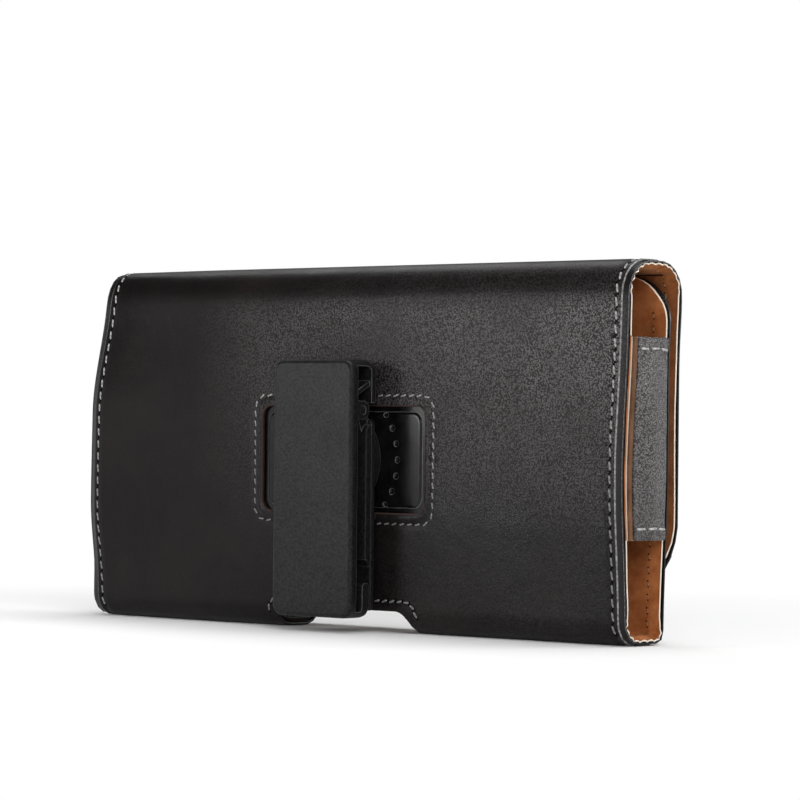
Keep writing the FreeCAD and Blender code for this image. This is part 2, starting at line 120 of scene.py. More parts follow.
@dataclass(frozen=True)
class Sizes:
    """The pouch's sizes in millimetres: outer sizes from the frame, layers and radii as made."""

    half_length: float
    height: float
    wall_y: float
    wall_top: float
    flap_y: float
    flap_low: float
    drawing_y: float
    back_fold_radius: float = 5.5
    front_fold_radius: float = 3.0
    top_back_radius: float = 8.5
    top_front_radius: float = 7.5
    wall_corner_radius: float = 11.0
    flap_corner_radius: float = 20.0
    leather: float = 0.8
    board: float = 0.8
    lining: float = 0.6
    setback: float = 0.4
    window_width: float = 52.4
    window_height: float = 25.4
    window_radius: float = 2.6
    window_z: float = 41.4
    window_stitch_margin: float = 2.6
    notch_width: float = 43.0
    notch_height: float = 5.2
    notch_radius: float = 4.5
    stitch_inset: float = 3.4

    @classmethod
    def from_frame(cls) -> "Sizes":
        """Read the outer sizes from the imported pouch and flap.

        Returns:
            The sizes, with the layers and radii as made.
        """
        wrap_low, wrap_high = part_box("outer_wrap")
        flap_low, flap_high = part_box("flap_leather")
        return cls(
            half_length=wrap_high.x / METRES,
            height=flap_high.z / METRES,
            wall_y=(wrap_high.y - wrap_low.y) / METRES,
            wall_top=wrap_high.z / METRES,
            flap_y=(flap_high.y - wrap_low.y) / METRES,
            flap_low=flap_low.z / METRES,
            drawing_y=wrap_low.y / METRES,
        )

    @property
    def sheet(self) -> float:
        """Thickness of all three layers."""
        return self.leather + self.board + self.lining

    @property
    def fold_z(self) -> float:
        """Height at which the top fold starts on the back panel."""
        return self.height - self.top_back_radius


@dataclass(frozen=True)
class Leg:
    """A straight leg of the fold line, or a quarter turn if it has a radius."""

    start: float
    length: float
    radius: float
    point: Vector
    outward: Vector


class FoldLine:
    """The sheet's outer face in side view, from the front wall's top round to the flap's edge.

    A flat place on the sheet is (u, v): u along the pouch, v along this line.
    """

    def __init__(self, sizes: Sizes) -> None:
        """Lay the legs one after another.

        Args:
            sizes: The pouch's sizes.
        """
        s = sizes
        plan = [
            (s.wall_top - s.front_fold_radius, 0.0),
            (0.0, s.front_fold_radius),
            (s.wall_y - s.front_fold_radius - s.back_fold_radius, 0.0),
            (0.0, s.back_fold_radius),
            (s.fold_z - s.back_fold_radius, 0.0),
            (0.0, s.top_back_radius),
            (s.flap_y - s.top_back_radius - s.top_front_radius, 0.0),
            (0.0, s.top_front_radius),
            (s.height - s.top_front_radius - s.flap_low, 0.0),
        ]
        here = Vector((s.wall_y, s.wall_top))
        outward = Vector((1.0, 0.0))
        at = 0.0
        self.legs: list[Leg] = []
        for length, radius in plan:
            run = length if radius == 0 else radius * math.pi / 2
            self.legs.append(Leg(at, run, radius, here.copy(), outward.copy()))
            heading = Vector((outward.y, -outward.x))
            if radius == 0:
                here = here + heading * length
            else:
                here = here - outward * radius + heading * radius
                outward = heading
            at += run
        self.end = at
        self.back_start = self.legs[4].start
        self.back_low = s.back_fold_radius
        self.wall_end = self.legs[0].length
        self.top_start = self.legs[5].start
        self.flap_start = self.legs[8].start

    def on_back(self, z: float) -> float:
        """The place along the line at a height on the back panel."""
        return self.back_start + z - self.back_low

    def place(self, u: float, v: float, depth: float) -> Vector:
        """Fold one flat place.

        Args:
            u: Place along the pouch.
            v: Place along the fold line.
            depth: Depth below the outer face.

        Returns:
            The folded place, in the drawing's millimetres.
        """
        leg = self.legs[0]
        for candidate in self.legs:
            if v >= candidate.start:
                leg = candidate
        run = v - leg.start
        if leg.radius == 0:
            heading = Vector((leg.outward.y, -leg.outward.x))
            point = leg.point + heading * run - leg.outward * depth
            return Vector((u, point.x, point.y))
        angle = run / leg.radius
        turned = Vector((
            leg.outward.x * math.cos(angle) + leg.outward.y * math.sin(angle),
            leg.outward.y * math.cos(angle) - leg.outward.x * math.sin(angle),
        ))
        point = leg.point - leg.outward * leg.radius + turned * (leg.radius - depth)
        return Vector((u, point.x, point.y))


@dataclass(frozen=True)
class Settling:
    """How the stitched pouch has settled.

    Its left end is pinched in at the top and splays out lower down, its right end is drawn
    in at the strap, its front wall leans out to the flap, the flap bulges at its top corners,
    and its back panel is a little uneven.
    """

    depth: float = 17.0
    reach: Span = (44.0, 86.5)
    top_pinch: float = 4.6
    top_span: Span = (52.0, 84.0)
    low_pinch: float = 1.8
    low_span: Span = (6.0, 30.0)
    unevenness: float = 0.22
    wave: float = 34.0
    foot: Span = (2.0, 12.0)
    end_roll: float = 0.75
    roll_reach: Span = (82.3, 87.0)
    roll_foot: Span = (6.0, 16.0)
    roll_top: Span = (44.0, 84.0)
    bow: float = 1.5
    bow_z: float = 38.0
    bow_width: float = 24.0
    bow_depth: Span = (3.5, 9.0)
    bow_reach: Span = (48.0, 85.0)
    splay: float = 1.8
    splay_z: float = 30.0
    splay_width: float = 38.0
    lean: float = 1.3
    lean_on: Span = (3.0, 12.5)
    lean_off: Span = (15.2, 17.2)
    lean_foot: Span = (3.0, 40.0)
    lean_top: Span = (84.6, 86.2)
    bulge: float = 0.8
    bulge_z: float = 79.0
    bulge_width: float = 9.0
    bulge_depth: Span = (11.0, 16.0)
    bulge_reach: Span = (55.0, 85.0)

    def move(self, place: Vector) -> Vector:
        """Move a folded place to where the settled sheet lies.

        Args:
            place: A place in the drawing's millimetres.

        Returns:
            The settled place.
        """
        x, y, z = place
        reach = smoothstep(*self.reach, -x)
        pinch = self.top_pinch * smoothstep(*self.top_span, z)
        pinch += self.low_pinch * (1 - smoothstep(*self.low_span, z))
        wander = noise.noise(Vector((x / self.wave, 0.3, z / self.wave)))
        roll = self.end_roll * smoothstep(*self.roll_reach, -x)
        roll *= smoothstep(*self.roll_foot, z) * (1 - smoothstep(*self.roll_top, z))
        back = pinch * reach + self.unevenness * wander * smoothstep(*self.foot, z) + roll
        back *= max(0.0, 1 - y / self.depth)
        bow = self.bow * hump(z - self.bow_z, self.bow_width) * smoothstep(*self.bow_reach, x)
        bow *= 1 - smoothstep(*self.bow_depth, y)
        splay = self.splay * hump(z - self.splay_z, self.splay_width) * reach
        lean = self.lean * smoothstep(*self.lean_on, y) * (1 - smoothstep(*self.lean_off, y))
        lean *= smoothstep(*self.lean_foot, z) * (1 - smoothstep(*self.lean_top, z))
        bulge = self.bulge * hump(z - self.bulge_z, self.bulge_width)
        bulge *= smoothstep(*self.bulge_depth, y) * smoothstep(*self.bulge_reach, abs(x))
        return Vector((x - bow - splay, y + back + lean + bulge, z))


@dataclass(frozen=True)
class RoundedHole:
    """A hole with rounded corners in a flat piece."""

    middle_u: float
    low_v: float
    high_v: float
    half_width: float
    radius: float

    def corners(self) -> list[tuple[Vector, int, int]]:
        """The corner arcs.

        Returns:
            Each arc's centre, with the corner's side along the pouch and the fold line.
        """
        return [(Vector((self.middle_u + side_u * (self.half_width - self.radius),
                         edge_v - side_v * self.radius, 0)), side_u, side_v)
                for side_u in (-1, 1) for side_v, edge_v in ((-1, self.low_v), (1, self.high_v))]

    def distance(self, u: float, v: float) -> float:
        """How far a flat place lies from the hole's outline.

        Args:
            u: Place along the pouch.
            v: Place along the fold line.

        Returns:
            The distance, negative inside the hole.
        """
        middle_v = (self.low_v + self.high_v) / 2
        du = abs(u - self.middle_u) - (self.half_width - self.radius)
        dv = abs(v - middle_v) - ((self.high_v - self.low_v) / 2 - self.radius)
        outside = math.hypot(max(du, 0.0), max(dv, 0.0))
        return outside + min(max(du, dv), 0.0) - self.radius


@dataclass
class FlatPiece:
    """One flat cut layer, which is detailed flat and then folded."""

    name: str
    half_width: float
    low_v: float
    high_v: float
    outer_depth: float
    inner_depth: float
    low_radius: float = 0.0
    high_radius: float = 0.0
    holes: tuple[RoundedHole, ...] = ()
    step: float = 2.6
    rows_u: tuple[float, ...] = ()
    rows_v: tuple[float, ...] = ()
    edge_round: float = 0.18
    arc_steps: int = 9
    seam_v: Optional[float] = None
    painted: float = 0.0
    blackened: float = 0.0
    plain: Span = (0.0, 0.0)
    highlight_half: float = 0.16
    hole_edge: float = 0.4
    relief: Callable[[float, float, bool], float] = field(default=lambda u, v, outer: 0.0)
    drift_u: Callable[[float, float], float] = field(default=lambda u, v: 0.0)

    def blank(self) -> bmesh.types.BMesh:
        """The flat grid with its outline and holes cut.

        Returns:
            The flat face of the piece, with its outer side up.
        """
        length = self.high_v - self.low_v
        bm = bmesh.new()
        bmesh.ops.create_grid(bm, x_segments=round(2 * self.half_width / self.step),
                              y_segments=round(length / self.step), size=1.0)
        bmesh.ops.scale(bm, vec=(self.half_width, length / 2, 1.0), verts=bm.verts)
        bmesh.ops.translate(bm, vec=(0.0, (self.low_v + self.high_v) / 2, 0.0), verts=bm.verts)
        for row in self.rows_u:
            self._score(bm, bm.faces[:], Vector((row, 0, 0)), Vector((1, 0, 0)))
        for row in self.rows_v:
            if self.low_v < row < self.high_v:
                self._score(bm, bm.faces[:], Vector((0, row, 0)), Vector((0, 1, 0)))
        for hole in self.holes:
            self._cut_hole(bm, hole)
        for edge_v, radius, side_v in ((self.low_v, self.low_radius, -1),
                                       (self.high_v, self.high_radius, 1)):
            for side_u in (-1, 1) if radius > 0 else ():
                centre = Vector((side_u * (self.half_width - radius),
                                 edge_v - side_v * radius, 0))
                for at, normal in self._arc_cuts(centre, side_u, side_v, radius):
                    self._score(bm, bm.faces[:], at, normal, clear=True)
        return bm

    @staticmethod
    def _score(bm: bmesh.types.BMesh, faces: Iterable[bmesh.types.BMFace], at: Vector,
               normal: Vector, clear: bool = False) -> None:
        """Cut faces along a line, and drop what lies beyond it if asked.

        Args:
            bm: The flat mesh.
            faces: The faces to cut.
            at: A point on the line.
            normal: The direction across the line.
            clear: Whether what lies along the normal is dropped.
        """
        chosen = set(faces)
        edges = {edge for face in chosen for edge in face.edges}
        verts = {vert for face in chosen for vert in face.verts}
        bmesh.ops.bisect_plane(bm, geom=[*verts, *edges, *chosen], dist=1e-4, plane_co=at,
                               plane_no=normal, clear_outer=clear)

    def _arc_cuts(self, centre: Vector, side_u: int, side_v: int,
                  radius: float) -> Iterable[tuple[Vector, Vector]]:
        """Short straight cuts that round a corner.

        Args:
            centre: The corner arc's centre.
            side_u: The corner's side along the pouch, 1 or -1.
            side_v: The corner's side along the fold line, 1 or -1.
            radius: The arc's radius.

        Yields:
            A point on each cut, and the direction outwards.
        """
        for index in range(1, self.arc_steps):
            angle = math.pi / 2 * index / self.arc_steps
            normal = Vector((side_u * math.cos(angle), side_v * math.sin(angle), 0))
            yield centre + normal * radius, normal

    def _cut_hole(self, bm: bmesh.types.BMesh, hole: RoundedHole) -> None:
        """Cut one rounded hole.

        Args:
            bm: The flat mesh.
            hole: The hole's outline.
        """
        for side in (-1, 1):
            edge_u = hole.middle_u + side * hole.half_width
            self._score(bm, bm.faces[:], Vector((edge_u, 0, 0)), Vector((1, 0, 0)))
        for edge_v in (hole.low_v, hole.high_v):
            self._score(bm, bm.faces[:], Vector((0, edge_v, 0)), Vector((0, 1, 0)))
        for centre, side_u, side_v in hole.corners():
            for at, normal in self._arc_cuts(centre, side_u, side_v, hole.radius):
                near = []
                for face in bm.faces:
                    away = face.calc_center_median() - centre
                    if (0 <= away.x * side_u <= hole.radius
                            and 0 <= away.y * side_v <= hole.radius):
                        near.append(face)
                self._score(bm, near, at, normal)
        gone = []
        for face in bm.faces:
            middle = face.calc_center_median()
            if hole.distance(middle.x, middle.y) < 0:
                gone.append(face)
        bmesh.ops.delete(bm, geom=gone, context="FACES")

    def thicken(self, bm: bmesh.types.BMesh) -> None:
        """Give the flat blank its thickness, round its cut edges and mark them.

        Args:
            bm: The flat mesh. Its faces and plain edges get material 0, its ends and other
            cut edges material 1, the edges of its holes and the ends of its outer face,
            painted black as shade, material 2, and painted highlight lines along its
            edge-painted ends material 3.
        """
        bmesh.ops.translate(bm, vec=(0, 0, -self.outer_depth), verts=bm.verts)
        bmesh.ops.solidify(bm, geom=bm.faces[:], thickness=self.inner_depth - self.outer_depth)
        bm.normal_update()
        rim = [edge for edge in bm.edges if self._is_rim(edge)]
        bmesh.ops.bevel(bm, geom=rim, offset=self.edge_round, offset_type="OFFSET", segments=2,
                        profile=0.5, affect="EDGES", material=-1)
        bm.normal_update()
        for face in bm.faces:
            middle = face.calc_center_median()
            from_end = self.half_width - abs(middle.x)
            flat = abs(face.normal.z) > FLAT_ENOUGH
            index = 0 if flat and from_end >= self.painted else 1
            if self.plain[0] < middle.y < self.plain[1]:
                index = 0
            # Painted highlight lines: the outer corner and the crease along an edge-painted end
            # take the pale material 3.
            if self.painted and middle.z > -self.outer_depth - self.edge_round:
                corner = from_end < self.edge_round and face.normal.z < FLAT_ENOUGH
                if corner or abs(from_end - self.painted) < self.highlight_half:
                    index = 3
            # Painted shade: the outer face near the ends takes the black material 2, as the shade
            # in the gap behind the leather's end; hole edges take it too.
            if ((from_end < self.blackened and face.normal.z > FLAT_ENOUGH)
                    or any(abs(hole.distance(middle.x, middle.y)) < self.hole_edge
                           for hole in self.holes)):
                index = 2
            face.material_index = index

    def _is_rim(self, edge: bmesh.types.BMEdge) -> bool:
        """Whether an edge is sharp and to be rounded.

        Args:
            edge: An edge of the thickened blank.

        Returns:
            Whether it lies between a flat side and a cut edge that isn't the hidden seam.
        """
        if len(edge.link_faces) != 2:
            return False
        flat = [abs(face.normal.z) > 0.5 for face in edge.link_faces]
        if flat[0] == flat[1]:
            return False
        if self.seam_v is None:
            return True
        return any(abs(vert.co.y - self.seam_v) > 1e-3 for vert in edge.verts)

    def shape(self, bm: bmesh.types.BMesh, line: FoldLine, settling: Settling) -> None:
        """Put the relief in, fold the piece and let it settle.

        Args:
            bm: The flat solid.
            line: The fold line.
            settling: How the folded sheet settles.
        """
        half = (self.outer_depth + self.inner_depth) / 2
        marks = bm.loops.layers.uv.new("flat")
        for face in bm.faces:
            for loop in face.loops:
                loop[marks].uv = (loop.vert.co.x * METRES, loop.vert.co.y * METRES)
        for vert in bm.verts:
            u, v, depth = vert.co.x, vert.co.y, -vert.co.z
            outer = depth < half
            depth -= self.relief(u, v, outer)
            vert.co = settling.move(line.place(u + self.drift_u(u, v), v, depth))

    def make(self, line: FoldLine, settling: Settling, drawing_y: float) -> bpy.types.Object:
        """Build the finished piece.

        Args:
            line: The fold line.
            settling: How the folded sheet settles.
            drawing_y: Where the drawing's y = 0 lies in the part's frame, in millimetres.

        Returns:
            The piece's object, at the origin, with its place in its mesh.
        """
        bm = self.blank()
        self.thicken(bm)
        self.shape(bm, line, settling)
        return finished(bm, self.name, drawing_y)


def finished(bm: bmesh.types.BMesh, name: str, drawing_y: float,
             sharp_deg: float = 50.0) -> bpy.types.Object:
    """Turn a mesh in the drawing's millimetres into an object in the part's frame.

    Args:
        bm: The mesh, which is freed.
        name: The piece's name.
        drawing_y: Where the drawing's y = 0 lies in the part's frame, in millimetres.
        sharp_deg: The angle above which an edge is sharp.

    Returns:
        The linked object.
    """
    bmesh.ops.translate(bm, vec=(0, drawing_y, 0), verts=bm.verts)
    bmesh.ops.scale(bm, vec=(METRES, METRES, METRES), verts=bm.verts)
    for face in bm.faces:
        face.smooth = True
    mesh = bpy.data.meshes.new(name)
    bm.to_mesh(mesh)
    bm.free()
    mesh.set_sharp_from_angle(angle=math.radians(sharp_deg))
    made = bpy.data.objects.new(name, mesh)
    bpy.context.scene.collection.objects.link(made)
    LOG.info("%s: %d faces", name, len(mesh.polygons))
    return made


@dataclass(frozen=True)
class StitchStyle:
    """One stitch of the thread: its length, width and how proud and slanted it lies."""

    length: float = 2.45
    width: float = 0.54
    height: float = 0.30
    slant_deg: float = 10.0
    jitter_deg: float = 8.0
    pitch: float = 3.1
    hole_radius: float = 0.42


@dataclass
class StitchRows:
    """A group of stitch rows, laid flat and folded with the sheet."""

    name: str
    style: StitchStyle
    depth: float = 0.0
    face: int = 1
    hole_lift: float = 0.07
    places: list[tuple[float, float, float]] = field(default_factory=list)

    def straight(self, start: tuple[float, float], end: tuple[float, float]) -> None:
        """Add a straight row.

        Args:
            start: The flat place where it starts.
            end: The flat place where it ends.
        """
        run = Vector(end) - Vector(start)
        count = max(1, round(run.length / self.style.pitch))
        angle = math.atan2(run.y, run.x)
        for index in range(count):
            at = Vector(start) + run * ((index + 0.5) / count)
            self.places.append((at.x, at.y, angle))

    def arc(self, centre: tuple[float, float], radius: float, start_deg: float,
            sweep_deg: float = 90.0) -> None:
        """Add a row round an arc.

        Args:
            centre: The arc's centre on the flat sheet.
            radius: Its radius.
            start_deg: Where it starts.
            sweep_deg: How far it goes round.
        """
        sweep = math.radians(sweep_deg)
        count = max(1, round(abs(radius * sweep) / self.style.pitch))
        for index in range(count):
            angle = math.radians(start_deg) + sweep * (index + 0.5) / count
            at = (centre[0] + radius * math.cos(angle), centre[1] + radius * math.sin(angle))
            self.places.append((at[0], at[1], angle + math.copysign(math.pi / 2, sweep)))

    def round_hole(self, hole: RoundedHole, margin: float, radius: float) -> None:
        """Add rows that run round a hole at a margin.

        Args:
            hole: The hole.
            margin: Distance of the row from the hole.
            radius: The row's corner radius.
        """
        half = hole.half_width + margin
        low, high = hole.low_v - margin, hole.high_v + margin
        self.straight((-half + radius, low), (half - radius, low))
        self.arc((half - radius, low + radius), radius, 270)
        self.straight((half, low + radius), (half, high - radius))
        self.arc((half - radius, high - radius), radius, 0)
        self.straight((half - radius, high), (-half + radius, high))
        self.arc((-half + radius, high - radius), radius, 90)
        self.straight((-half, high - radius), (-half, low + radius))
        self.arc((-half + radius, low + radius), radius, 180)

    def _thread(self, bm: bmesh.types.BMesh, u: float, v: float, angle: float,
                length: float) -> list[bmesh.types.BMVert]:
        """Lay one stitch as a plump bar whose ends dip into the leather.

        Args:
            bm: The mesh of all the stitches.
            u: Its middle along the pouch.
            v: Its middle along the fold line.
            angle: Its heading on the flat sheet.
            length: Its length.

        Returns:
            Its vertices.
        """
        style = self.style
        made = bmesh.ops.create_uvsphere(bm, u_segments=8, v_segments=7, radius=1.0)
        for vert in made["verts"]:
            along, across, up = vert.co.z, vert.co.x, vert.co.y
            belly = 1 - 0.22 * abs(along) ** 3
            dip = 0.55 * style.height * abs(along) ** 4
            vert.co = Vector((plump(along) * length / 2, across * style.width / 2 * belly,
                              self.face * (up * style.height * belly - dip)))
        turn = Matrix.Translation((u, v, -self.depth)) @ Matrix.Rotation(angle, 4, "Z")
        bmesh.ops.transform(bm, matrix=turn, verts=made["verts"])
        return made["verts"]

    def make(self, line: FoldLine, settling: Settling, drawing_y: float,
             valley: float) -> bpy.types.Object:
        """Build all the stitches and the needle holes between them.

        Args:
            line: The fold line.
            settling: How the folded sheet settles.
            drawing_y: Where the drawing's y = 0 lies in the part's frame, in millimetres.
            valley: How deep the thread has pulled the leather in.

        Returns:
            The stitches' object, with thread as material 0 and needle holes as material 1.
        """
        style = self.style
        bm = bmesh.new()
        marks = bm.loops.layers.uv.new("thread")
        for number, (u, v, angle) in enumerate(self.places):
            wobble = noise.noise(Vector((u * 0.37, v * 0.41, number * 0.7)))
            slant = math.radians(style.slant_deg + style.jitter_deg * wobble) * self.face
            length = style.length * (1 + 0.08 * wobble)
            fresh = self._thread(bm, u, v, angle + slant, length)
            heading = Vector((math.cos(angle + slant), math.sin(angle + slant), 0))
            across = Vector((-heading.y, heading.x, 0))
            middle = Vector((u, v, -self.depth))
            for face in {face for vert in fresh for face in vert.link_faces}:
                for loop in face.loops:
                    offset = loop.vert.co - middle
                    loop[marks].uv = (offset.dot(heading), offset.dot(across))
            for end in (-1, 1):
                self._needle_hole(bm, middle + heading * (end * length / 2))
        for vert in bm.verts:
            u, v, depth = vert.co.x, vert.co.y, -vert.co.z
            vert.co = settling.move(line.place(u, v, depth + self.face * valley))
        return finished(bm, self.name, drawing_y, sharp_deg=THREAD_SHARP_DEG)

    def _needle_hole(self, bm: bmesh.types.BMesh, at: Vector) -> None:
        """Add the small mouth of a needle hole under a stitch's end, a barely sunk disc whose dark
        colour is painted shade.

        Args:
            bm: The mesh of all the stitches.
            at: The hole's place on the flat sheet.
        """
        radius = self.style.hole_radius
        rim = bmesh.ops.create_circle(bm, cap_ends=True, segments=8, radius=radius)["verts"]
        face = rim[0].link_faces[0]
        sunk = bmesh.ops.inset_region(bm, faces=[face], thickness=radius * 0.4, depth=-0.02)
        mouth = [face, *sunk["faces"]]
        lift = Matrix.Translation(at + Vector((0, 0, self.hole_lift * self.face)))
        bmesh.ops.transform(bm, matrix=lift, verts=list({v for f in mouth for v in f.verts}))
        for part in mouth:
            part.material_index = 1
        if self.face < 0:
            bmesh.ops.reverse_faces(bm, faces=mouth)


Colour = tuple[float, float, float]


def opaque(colour: Colour, share: float = 1.0) -> tuple[float, float, float, float]:
    """A colour's RGBA, brightened or dimmed by a share."""
    return (colour[0] * share, colour[1] * share, colour[2] * share, 1.0)


class Sketch:
    """A small helper that adds nodes to a material or group and links them."""

    def __init__(self, tree: bpy.types.NodeTree) -> None:
        """Keep the tree to draw in."""
        self.tree = tree

    def add(self, kind: str, operation: Optional[str] = None, **inputs: object) -> bpy.types.Node:
        """Add a node; keywords set its inputs by name, or link them to a socket.

        Args:
            kind: The node's type, without its leading ShaderNode.
            operation: What a maths node works out.
            **inputs: Values or sockets; an underscore stands for a space.

        Returns:
            The new node.
        """
        made = self.tree.nodes.new("ShaderNode" + kind)
        if operation is not None:
            made.operation = operation
        for name, value in inputs.items():
            self.feed(made.inputs[name.replace("_", " ")], value)
        return made

    def feed(self, socket: bpy.types.NodeSocket, value: object) -> None:
        """Link a socket to another, or set its plain value.

        Args:
            socket: The socket to feed.
            value: What it gets.
        """
        if isinstance(value, bpy.types.NodeSocket):
            self.tree.links.new(value, socket)
        else:
            socket.default_value = value

    def fed(self, made: bpy.types.Node, *values: object) -> bpy.types.Node:
        """Feed a node's inputs in order.

        Args:
            made: The node.
            *values: Values or sockets.

        Returns:
            The node.
        """
        for socket, value in zip(made.inputs, values):
            self.feed(socket, value)
        return made

    def math(self, kind: str, first: object, second: object) -> bpy.types.NodeSocket:
        """A math node's result."""
        return self.fed(self.add("Math", kind), first, second).outputs[0]

    def span(self, value: object, low: float, high: float, to_low: float = 0.0,
             to_high: float = 1.0) -> bpy.types.NodeSocket:
        """A clamped map of a value from one range to another."""
        return self.add("MapRange", Value=value, From_Min=low, From_Max=high, To_Min=to_low,
                        To_Max=to_high).outputs[0]

    def mix(self, share: object, first: object, second: object) -> bpy.types.NodeSocket:
        """A mix of two colours.

        Args:
            share: How much of the second it takes.
            first: The first colour.
            second: The second colour.

        Returns:
            The mixed colour.
        """
        made = self.tree.nodes.new("ShaderNodeMix")
        made.data_type = "RGBA"
        for index, value in ((0, share), (6, first), (7, second)):
            self.feed(made.inputs[index], value)
        return made.outputs[2]

    def noise(self, vector: object, scale: float, detail: float = 3.0,
              roughness: float = 0.55) -> bpy.types.NodeSocket:
        """A noise texture's value."""
        return self.add("TexNoise", Vector=vector, Scale=scale, Detail=detail,
                        Roughness=roughness).outputs[0]

    def place(self) -> bpy.types.NodeSocket:
        """The piece's own coordinates, in metres."""
        return self.add("TexCoord").outputs["Object"]

    def along(self, place: bpy.types.NodeSocket, axis: str) -> bpy.types.NodeSocket:
        """One of a place's coordinates."""
        return self.add("SeparateXYZ", Vector=place).outputs[axis]


def new_group(name: str, ins: Iterable[str], outs: Iterable[str]) -> tuple[Sketch, dict, dict]:
    """Start a shader node group that takes a place and plain values and gives values.

    Args:
        name: The group's name.
        ins: Names of its values in, after Place.
        outs: Names of its values out.

    Returns:
        A sketch of the group, its input sockets and its output sockets, by name.
    """
    tree = bpy.data.node_groups.new(name, "ShaderNodeTree")
    tree.interface.new_socket(name="Place", in_out="INPUT", socket_type="NodeSocketVector")
    for labels, way in ((ins, "INPUT"), (outs, "OUTPUT")):
        for label in labels:
            tree.interface.new_socket(name=label, in_out=way, socket_type="NodeSocketFloat")
    source = tree.nodes.new("NodeGroupInput")
    sink = tree.nodes.new("NodeGroupOutput")
    return (Sketch(tree), {label: source.outputs[label] for label in ("Place", *ins)},
            {label: sink.inputs[label] for label in outs})


def pebble_group() -> bpy.types.NodeTree:
    """Shared grain of pressed leather: fine pebbles, pores and soft creases, with a mask for
    painted sheen on the pebble crowns.

    Returns:
        The node group.
    """
    sketch, ins, outs = new_group("pebble_grain", ("Pebbles", "Amount"),
                                  ("Height", "PaintedSheen", "Mottle"))
    place = ins["Place"]
    warp = sketch.add("TexNoise", Vector=place, Scale=620.0, Detail=2.0).outputs["Color"]
    bent = sketch.fed(sketch.add("VectorMath", "MULTIPLY_ADD"), warp, (0.0009,) * 3, place)
    cells = sketch.add("TexVoronoi", Vector=bent.outputs[0], Scale=ins["Pebbles"])
    dome = sketch.span(cells.outputs["Distance"], 0.1, 0.62, 1.0, 0.0)
    pores = sketch.noise(place, 2600.0, 2.0)
    crease = sketch.noise(place, 170.0, 5.0, 0.62)
    patch = sketch.span(sketch.noise(place, 60.0, 4.0), 0.35, 0.65, 0.55, 1.0)
    share = sketch.math("MULTIPLY", patch, ins["Amount"])
    fine = sketch.math("ADD", sketch.math("MULTIPLY", pores, 0.25),
                       sketch.math("MULTIPLY", crease, 0.9))
    # Painted sheen: a mask that lightens the domed pebble crowns in the base colour.
    painted_highlight = sketch.math("MULTIPLY", sketch.span(dome, 0.03, 0.5),
                         sketch.span(pores, 0.35, 0.62, 0.5, 1.0))
    sketch.feed(outs["Height"], sketch.math("ADD", sketch.math("MULTIPLY", dome, share), fine))
    sketch.feed(outs["PaintedSheen"], sketch.math("MULTIPLY", painted_highlight, share))
    sketch.feed(outs["Mottle"], sketch.noise(place, 48.0, 6.0, 0.6))
    return sketch.tree


def nap_group() -> bpy.types.NodeTree:
    """Shared nap of suede and thread: soft fibres and brushed patches.

    Returns:
        The node group.
    """
    sketch, ins, outs = new_group("brushed_nap", ("Fibres",), ("Height", "Nap"))
    sketch.feed(outs["Height"], sketch.noise(ins["Place"], ins["Fibres"], 4.0, 0.7))
    sketch.feed(outs["Nap"], sketch.noise(ins["Place"], 210.0, 4.0, 0.6))
    return sketch.tree


@dataclass(frozen=True)
class Draft:
    """A material as it is drawn: its sketch, its Principled shader and the object's place."""

    sketch: Sketch
    shader: bpy.types.Node
    place: bpy.types.NodeSocket

    def set(self, **inputs: object) -> None:
        """Set or link the shader's inputs; an underscore stands for a space."""
        for name, value in inputs.items():
            self.sketch.feed(self.shader.inputs[name.replace("_", " ")], value)

    def group(self, tree: bpy.types.NodeTree, **inputs: object) -> bpy.types.NodeOutputs:
        """Place a shared group and set its inputs.

        Args:
            tree: The group.
            **inputs: Values or sockets for it, by name.

        Returns:
            The group's outputs.
        """
        made = self.sketch.add("Group")
        made.node_tree = tree
        for name, value in {"Place": self.place, **inputs}.items():
            self.sketch.feed(made.inputs[name], value)
        return made.outputs

    def bump(self, height: bpy.types.NodeSocket, depth: float) -> bpy.types.Node:
        """Feed a height to the shader as a bump.

        Args:
            height: The height.
            depth: The bump's depth in metres.

        Returns:
            The bump node.
        """
        made = self.sketch.add("Bump", Height=height, Distance=depth, Strength=1.0)
        self.set(Normal=made.outputs[0])
        return made


@dataclass(frozen=True)
class Finish:
    """A finish's name, base colour and gloss; each kind of finish draws its own nodes."""

    name: str
    colour: Colour
    roughness: float
    specular: float = 0.5

    def make(self, shelf: dict[str, bpy.types.NodeTree]) -> bpy.types.Material:
        """Make the material.

        Args:
            shelf: The shared groups.

        Returns:
            The material, with the finish drawn.
        """
        made = bpy.data.materials.new(self.name)
        made.use_nodes = True
        sketch = Sketch(made.node_tree)
        draft = Draft(sketch, made.node_tree.nodes["Principled BSDF"], sketch.place())
        draft.set(Base_Color=opaque(self.colour), Roughness=self.roughness,
                  Specular_IOR_Level=self.specular)
        self.draw(draft, shelf)
        return made

    def draw(self, draft: Draft, shelf: dict[str, bpy.types.NodeTree]) -> None:
        """Draw what sets the finish apart.

        Args:
            draft: The material as started.
            shelf: The shared groups.
        """


